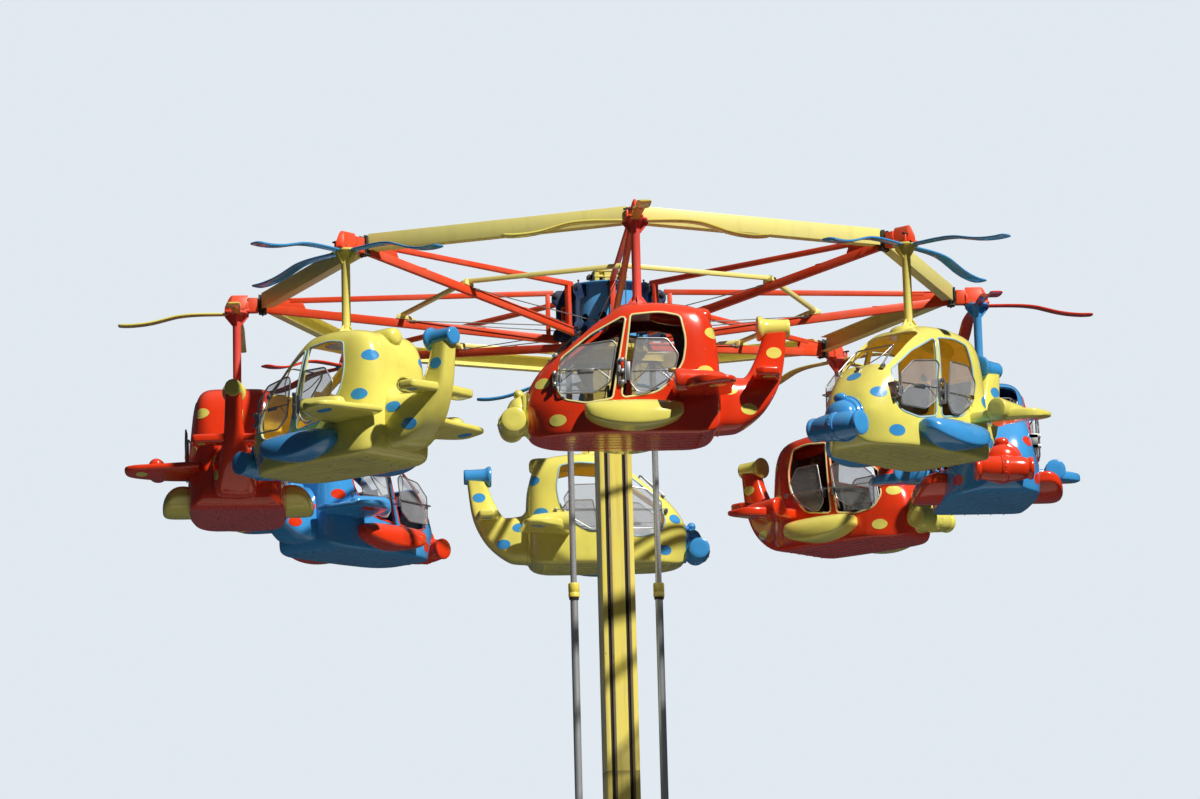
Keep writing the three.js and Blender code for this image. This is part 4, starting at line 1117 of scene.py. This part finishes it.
# Nose engine: a barrel across the nose with raised collars and a riveted middle band, on a round
# mounting disc, under a small domed cap.
half_barrel = [(0.06, -0.322), (0.112, -0.3215), (0.122, -0.316), (0.127, -0.302), (0.126, -0.284),
               (0.116, -0.27), (0.112, -0.258), (0.118, -0.246), (0.129, -0.2), (0.138, -0.14),
               (0.142, -0.09), (0.1425, -0.04), (0.149, -0.037), (0.152, -0.03), (0.152, 0.0)]
barrel = half_barrel + [(radius, -y) for radius, y in half_barrel[-2::-1]]
rivet = lathe([(0.011, -0.002), (0.01, 0.003), (0.0065, 0.006), (0.002, 0.0072)], 12, "trim")
engine = lathe(barrel, 44, "trim").turned(90, "X")
engine += repeated(rivet.turned(90, "Y").moved(0.1515, 0, 0), 14, (0, 360 / 14, 0))
engine = engine.moved(1.3, 0, 9.045)
disc = lathe([(0.2, -0.004), (0.24, 0.0), (0.24, 0.03), (0.236, 0.036), (0.222, 0.04),
              (0.214, 0.07), (0.2, 0.082), (0.12, 0.085)], 44, "trim")
engine += disc.turned(90, "Y").moved(1.122, 0, 9.145)
cap = lathe([(0.165, 9.11), (0.166, 9.175), (0.152, 9.232), (0.12, 9.278), (0.08, 9.305), (0.057, 9.315),
             (0.057, 9.323), (0.067, 9.336), (0.07, 9.354), (0.063, 9.378), (0.045, 9.394),
             (0.024, 9.402), (0.006, 9.404)], 32, "trim")
engine += cap.stretched(0.75, 1.15).moved(1.235, 0, 0)

# Spots: oval patches of trim-coloured gelcoat film rolled onto the hull, tail, wings and stabilisers.
# Each row gives the surface, the centre, the width and the height; all but the nose spot are paired.
tail_tree, wing_tree, stub_tree = surface(trunk), surface(wing.both_sides()), surface(stub)
SPOTS = ((fine_hull, 1.01, 0.33, 9.4, 0.188, 0.122), (fine_hull, 0.87, 0.45, 9.0, 0.188, 0.122),
         (fine_hull, -0.72, 0.375, 9.89, 0.188, 0.122), (fine_hull, -0.645, 0.49, 9.48, 0.188, 0.122),
         (tail_tree, -0.9, 0.28, 9.35, 0.18, 0.12), (tail_tree, -1.1, 0.24, 9.14, 0.18, 0.12),
         (tail_tree, -1.375, 0.12, 9.74, 0.16, 0.118), (wing_tree, -0.71, 1.03, 9.15, 0.18, 0.125),
         (stub_tree, -1.29, 0.36, 9.4, 0.13, 0.1))
STAND_OFF = 0.12


def spot(tree, x, y, z, wide, tall):
    """A thin oval patch that follows the surface nearest to its centre."""
    centre, normal, _, _ = tree.find_nearest(Vector((x, y, z)))
    across = Vector((0, 0, 1)).cross(normal)
    across = Vector((1, 0, 0)) if across.length < 0.3 else across.normalized()
    along = normal.cross(across).normalized()
    across = along.cross(normal)
    rings = []
    for share in (1.0, 0.985, 0.5, 0.03):
        ring = []
        for c, s in circle(share, 30):
            start = centre + across * (c * wide / 2) + along * (s * tall / 2) + normal * STAND_OFF
            hit = tree.ray_cast(start, -normal)[0] or start - normal * STAND_OFF
            ring.append(hit + normal * (-0.004 if share == 1.0 else 0.0022))
        rings.append(ring)
    return loft(rings, finish="trim")


spots = spot(fine_hull, 0.975, 0.0, 9.6, 0.185, 0.115)
for tree, x, y, z, wide, tall in SPOTS:
    spots += spot(tree, x, y, z, wide, tall) + spot(tree, x, -y, z, wide, tall)

# Seats: two glass-fibre benches, one behind each door, bolted to the floor. Thin pads of dark grey
# vinyl over foam are screwed to their seats and backs.
vinyl = Finish("seat vinyl", coat_weight=0.15, coat_roughness=0.3)
grain, mottle = vinyl.noise(240.0, 3.0), vinyl.noise(8.0, 4.0)
faded = vinyl.ease(mottle, 0.4, 0.75)
vinyl.feed("Base Color", vinyl.blend(faded, (0.03, 0.031, 0.034), (0.085, 0.083, 0.08)))
vinyl.feed("Roughness", mottle * 0.25 + grain * 0.1 + 0.34)
vinyl.raise_up(grain * 0.6 + mottle * 0.3, 0.35, 0.001)
BENCH_HALF, PAD_WIDE = 0.378, 0.7
REAR_BENCH = [(-0.64, 9.0), (-0.345, 9.0), (-0.332, 9.238), (-0.555, 9.238), (-0.632, 9.77),
              (-0.655, 9.775)]
FRONT_BENCH = [(0.115, 9.0), (0.405, 9.0), (0.418, 9.222), (0.19, 9.222), (0.112, 9.635),
               (0.1, 9.63)]
# The benches take each gondola's inside coat, which is painted shade.
benches = upright(REAR_BENCH, -BENCH_HALF, BENCH_HALF, 0.01, "inside", 3)
benches += upright(FRONT_BENCH, -BENCH_HALF, BENCH_HALF, 0.008, "inside", 3)


def cushion(long, wide, thick):
    """A crowned pad that pulls in between its corners, with a welt round its edge."""
    rings = []
    half = min(long, wide) / 2
    for height, inset in ((0.0, 0.12), (0.08, 0.04), (0.38, 0.0), (0.44, -0.02), (0.5, 0.0), (0.7, 0.05),
                          (0.8, 0.14), (0.87, 0.3), (0.95, 0.6), (1.0, 0.92)):
        x, y = long / 2 - inset * half, wide / 2 - inset * half
        outline = spaced(rectangle((-x, x), (-y, y), min(0.045, 0.9 * x, 0.9 * y), 4), 56)
        edge = np.abs(outline) > (x * 0.8, y * 0.8)
        pulls = 1 - 0.022 * (np.cos(np.pi * outline[:, ::-1] / (wide, long)) ** 2) * edge
        rings.append([(px, py, thick * height) for px, py in outline * pulls])
    return loft(rings, finish="vinyl")


seat_pads = Shape()
for long, thick, lean, x, z in ((0.215, 0.04, 0, -0.44, 9.2385), (0.44, 0.034, 81.5, -0.583, 9.505),
                                (0.205, 0.036, 0, 0.31, 9.2225), (0.33, 0.03, 79.5, 0.157, 9.435)):
    seat_pads += cushion(long, PAD_WIDE, thick).turned(lean, "Y").moved(x, 0, z)

# Rails: bent stainless tube. A hoop with two stays guards the windscreen; the inner side has fixed
# smoky acrylic panels in thin frames and one long bar on end brackets. Hinge plates sit on the pillars.
tube_chrome = steel("stainless tube", (0.47, 0.49, 0.52), 0.36, 1.0, 0.25)
acrylic = Finish("smoky acrylic", roughness=0.1, ior=1.49)
haze = acrylic.noise(5.0, 4.0)
scratches = acrylic.ease(acrylic.noise(70.0, 2.0, (1.0, 1.0, 7.0)), 0.66, 0.74)
acrylic.feed("Base Color", acrylic.blend(haze, (0.4, 0.44, 0.5), (0.55, 0.59, 0.65)))
acrylic.feed("Roughness", haze * 0.12 + scratches * 0.3 + 0.05)
acrylic.feed("Alpha", haze * 0.14 + scratches * 0.2 + 0.24)
FRONT_GATE = [(0.838, 9.6), (0.65, 9.758), (0.3, 9.802), (0.252, 9.752), (0.32, 9.362),
              (0.48, 9.254), (0.846, 9.262)]
REAR_GATE = [(0.07, 9.818), (-0.25, 9.812), (-0.368, 9.64), (-0.3, 9.41), (-0.04, 9.252),
             (0.07, 9.252), (0.148, 9.36)]
FRONT_HINGE, REAR_HINGE, GUARD_TUBE = (0.867, 0.486), (0.184, 0.567), 0.0068
FRONT_TURN, BAR, GUARD = 7.5, 9.5, -0.567


def pipe(points, radius, bend=0.03, closed=False, steps=10):
    """A bent tube through corner points."""
    points = [Vector(p) for p in points]
    path = []
    count = len(points)
    for i, here in enumerate(points):
        if not closed and i in (0, count - 1):
            path.append(here)
            continue
        back, ahead = points[i - 1] - here, points[(i + 1) % count] - here
        reach = min(bend, 0.45 * back.length, 0.45 * ahead.length)
        start, end = here + back.normalized() * reach, here + ahead.normalized() * reach
        for t in (0.0, 0.25, 0.5, 0.75, 1.0):
            path.append(start.lerp(here, t).lerp(here.lerp(end, t), t))
    return sweep([tuple(p) for p in path], circle(radius, steps), closed, "tube")


def panel(outline, y, rim, corner=0.028):
    """An acrylic panel in a thin tube frame, in the plane at y."""
    edge = pipe([(x, y, z) for x, z in grown(outline, -rim)], rim, corner, True)
    pane = rounded([(x, z, corner * 0.8) for x, z in grown(outline, -rim * 1.4)], 4)
    return edge + upright(pane, y - 0.002, y + 0.002, finish="acrylic")


rails = pipe([(0.875, -0.29, 9.712), (0.6, -0.25, 9.968), (0.6, 0.25, 9.968), (0.875, 0.29, 9.712)],
             0.009, 0.07)
tilted = Matrix.Rotation(math.atan2(SCREEN_FALL, SCREEN_RUN), 4, "Y")
foot = block((-0.026, -0.02, -0.03), (0.026, 0.02, 0.006), 0.003, "tube").at(tilted)
for side in (-1, 1):
    rails += pipe([(0.9, side * 0.018, 9.7), (0.745, side * 0.185, 9.835), (0.6, side * 0.235, 9.968)],
                  0.006, 0.05)
    rails += foot.moved(0.878, side * 0.29, 9.706)
for start, end, x, z in (((-0.045, -0.03, -0.012), (0.045, 0.03, 0.01), 0.905, 9.688),
                         ((-0.012, -0.026, 0.0), (0.012, 0.026, 0.03), 0.9, 9.692)):
    rails += block(start, end, 0.004, "tube").at(tilted).moved(x, 0, z)
x, y = FRONT_HINGE
rails += panel(FRONT_GATE, 0.0, GUARD_TUBE).moved(-x, 0, 0).turned(FRONT_TURN).moved(x, -y, 0)
rails += panel(REAR_GATE, GUARD, GUARD_TUBE)
rails += pipe([(-0.455, -0.49, BAR), (-0.455, GUARD - 0.012, BAR), (0.25, GUARD - 0.012, BAR),
               (0.905, -0.494, BAR), (0.905, -0.4, BAR)], 0.0066, 0.025)
for x, y in ((-0.455, -0.51), (0.905, -0.405)):
    rails += block((x - 0.02, y - 0.026, 9.474), (x + 0.014, y + 0.07, 9.526), 0.004, "tube")
HINGE_PLATES = [((x - 0.012, GUARD - 0.012, 9.42), (x + 0.012, -0.47, 9.54)) for x in (0.285, 0.1)]
HINGE_PLATES += [((0.225, 0.44, 9.33), (0.258, 0.551, 9.606)),
                 ((0.88, 0.36, 9.335), (0.908, 0.466, 9.505))]
HINGE_PLATES += [((0.1962, 0.54, low), (0.236, 0.577, high))
                 for low, high in ((9.3415, 9.38), (9.455, 9.495), (9.57, 9.6085))]
HINGE_PLATES += [((0.879, 0.36, low), (0.908, 0.4965, high))
                 for low, high in ((9.3415, 9.384), (9.456, 9.4985))]
for start, end in HINGE_PLATES:
    rails += block(start, end, 0.003, "tube")
plate_bolt = lathe([(0.0075, -0.002), (0.007, 0.003), (0.004, 0.0045)], 10, "bolt").turned(-90, "X")
for place in ((0.247, 0.551, 9.35), (0.247, 0.551, 9.475), (0.247, 0.551, 9.585), (0.216, 0.577, 9.475),
              (0.893, 0.4965, 9.365), (0.893, 0.4965, 9.475)):
    rails += plate_bolt.moved(*place)

# Fitting out. Each gondola's inner skin and benches get a coat of painted shade, a darker copy of its hull
# colour; in the yellow ones it is a deeper ochre with a painted glow, an emission that stands in for
# sunlight coming through the thin yellow shells. Edge beads have a colour of their own.
INSIDE_SHADE_AND_GLOW = {"red": (0.15, 0.008, 0.004), "yellow": (0.95, 0.6, 0.05), "blue": (0.008, 0.05, 0.17)}
EDGINGS = {"red": (0.92, 0.86, 0.42), "yellow": (0.42, 0.66, 0.76), "blue": (0.8, 0.06, 0.02)}
LOST_FLOAT, SUN_THROUGH = 5, {"yellow": 0.12}
inside_shade_and_glow_coats, edgings = {}, {}
for name in COLOURS:
    inside_shade_and_glow_coats[name] = gelcoat(f"{name} inside", INSIDE_SHADE_AND_GLOW[name], 1.0, SUN_THROUGH.get(name, 0.0))
    edgings[name] = gelcoat(f"{name} edging", EDGINGS[name], 0.4)
for k, place in enumerate(PLACES, start=1):
    name = ORDER[k - 1]
    other, node, slot = SECOND[name], f"cabin_{k}", f"{name}_gelcoat"
    looks = {"body": gelcoats[name], "inside": inside_shade_and_glow_coats[name], "trim": gelcoats[other],
             "edging": edgings[name], "dark": black.material, "tube": tube_chrome,
             "acrylic": acrylic.material, "bolt": zinc, "vinyl": vinyl.material}
    trim = beads + housing + engine + spots + outer_float + (Shape() if k == LOST_FLOAT else inner_float)
    fit(f"gondola_{k}_hull", hull + tail, looks, "rotor", node, place, 40.0)
    fit(f"gondola_{k}_wings", wings, looks, "rotor", node, place, 50.0)
    fit(f"gondola_{k}_trim", trim, looks, "rotor", node, place, 40.0)
    fit(f"gondola_{k}_rails", rails, looks, "rotor", node, place)
    fit(f"gondola_{k}_benches", benches, looks, "rotor", node, place)
    fit(f"gondola_{k}_seat_pads", seat_pads, looks, "rotor", node, place, 60.0)

# Gates: the outer side's two gates are smoky acrylic in bent tube rims, each with a bar across at hand
# height. The barrel of each hinge is at the gate's front edge; the rear gate has a brass latch.
brass = steel("brass latch", (0.62, 0.42, 0.14), 0.28, 1.0, 0.4)
RIM_TUBE, BAR_TUBE, BRACE_TUBE = 0.0088, 0.0062, 0.003


def gate(outline, hinge, low, high, bar_height):
    """A gate in its hinge's plane, y = 0 on the hinge line, and where its bar ends."""
    made = panel(outline, 0.0, RIM_TUBE, 0.034)
    made += lathe([(0.0105, low), (0.0105, high)], 18, "tube").moved(hinge, 0, 0)
    for z in (low + 0.045, high - 0.045):
        made += lathe([(0.011, z - 0.0015), (0.011, z + 0.0015)], 18, "bolt").moved(hinge, 0, 0)
    made += block((hinge - 0.052, -0.0054, low + 0.03), (hinge, 0.0054, high - 0.03), 0.002, "tube")
    inside = grown(outline, -RIM_TUBE)
    crossings = []
    for (x0, z0), (x1, z1) in zip(inside, np.roll(inside, -1, axis=0)):
        if (z0 - bar_height) * (z1 - bar_height) < 0:
            crossings.append(x0 + (x1 - x0) * (bar_height - z0) / (z1 - z0))
    left, right = min(crossings), max(crossings)
    made += pipe([(left, 0.0045, bar_height), (right, 0.0045, bar_height)], BAR_TUBE)
    for x, inward in ((left, 1), (right, -1)):
        made += pipe([(x + inward * 0.145, 0.005, bar_height - 0.002),
                      (x + inward * 0.018, 0.005, bar_height - 0.105)], BRACE_TUBE, steps=8)
    return made, left, right


front, left, right = gate(FRONT_GATE, FRONT_HINGE[0], 9.35, 9.49, 9.5)
middle = (left + right) / 2
front += block((middle - 0.08, 0.0045, 9.47), (middle + 0.08, 0.0105, 9.512), 0.003, "bolt")
rear, left, right = gate(REAR_GATE, REAR_HINGE[0], 9.35, 9.6, 9.475)
rear += block((left - 0.012, -0.009, 9.455), (left + 0.06, 0.0105, 9.497), 0.004, "brass")
latch_pin = lathe([(0.012, 0.0), (0.012, 0.004), (0.006, 0.006)], 12, "brass").turned(-90, "X")
rear += latch_pin.moved(left + 0.03, 0.004, 9.476)
looks = {"tube": tube_chrome, "acrylic": acrylic.material, "bolt": zinc, "brass": brass}
for k, place in enumerate(PLACES, start=1):
    for kind, made, (x, y), turn in (("front", front, FRONT_HINGE, -FRONT_TURN),
                                     ("rear", rear, REAR_HINGE, 0.0)):
        node, swing = f"{kind}_gate_{k}", Matrix.Rotation(math.radians(turn), 4, "Z")
        hang = place @ Matrix.Translation((x, y, 0)) @ swing @ Matrix.Translation((-x, 0, 0))
        fit(f"{node}_panel", made, looks, node, node, hang)

# Floor. A plain pale disc 18 m across, that the ride stands on and that takes its shadow. It stands in
# for the paved ground at a fair and is not part of the object.
ground = Finish("pale floor", roughness=0.9)
ground.feed("Base Color", ground.blend(ground.noise(0.4), (0.39, 0.38, 0.36), (0.43, 0.42, 0.4)))
FLOOR_RADIUS, FLOOR_SIDES = 9.0, 96
disc = Shape([(x, y, -0.002) for x, y in circle(FLOOR_RADIUS, FLOOR_SIDES)], [range(FLOOR_SIDES)])
floor = placed("floor", disc.mesh("floor", {"main": ground.material}))
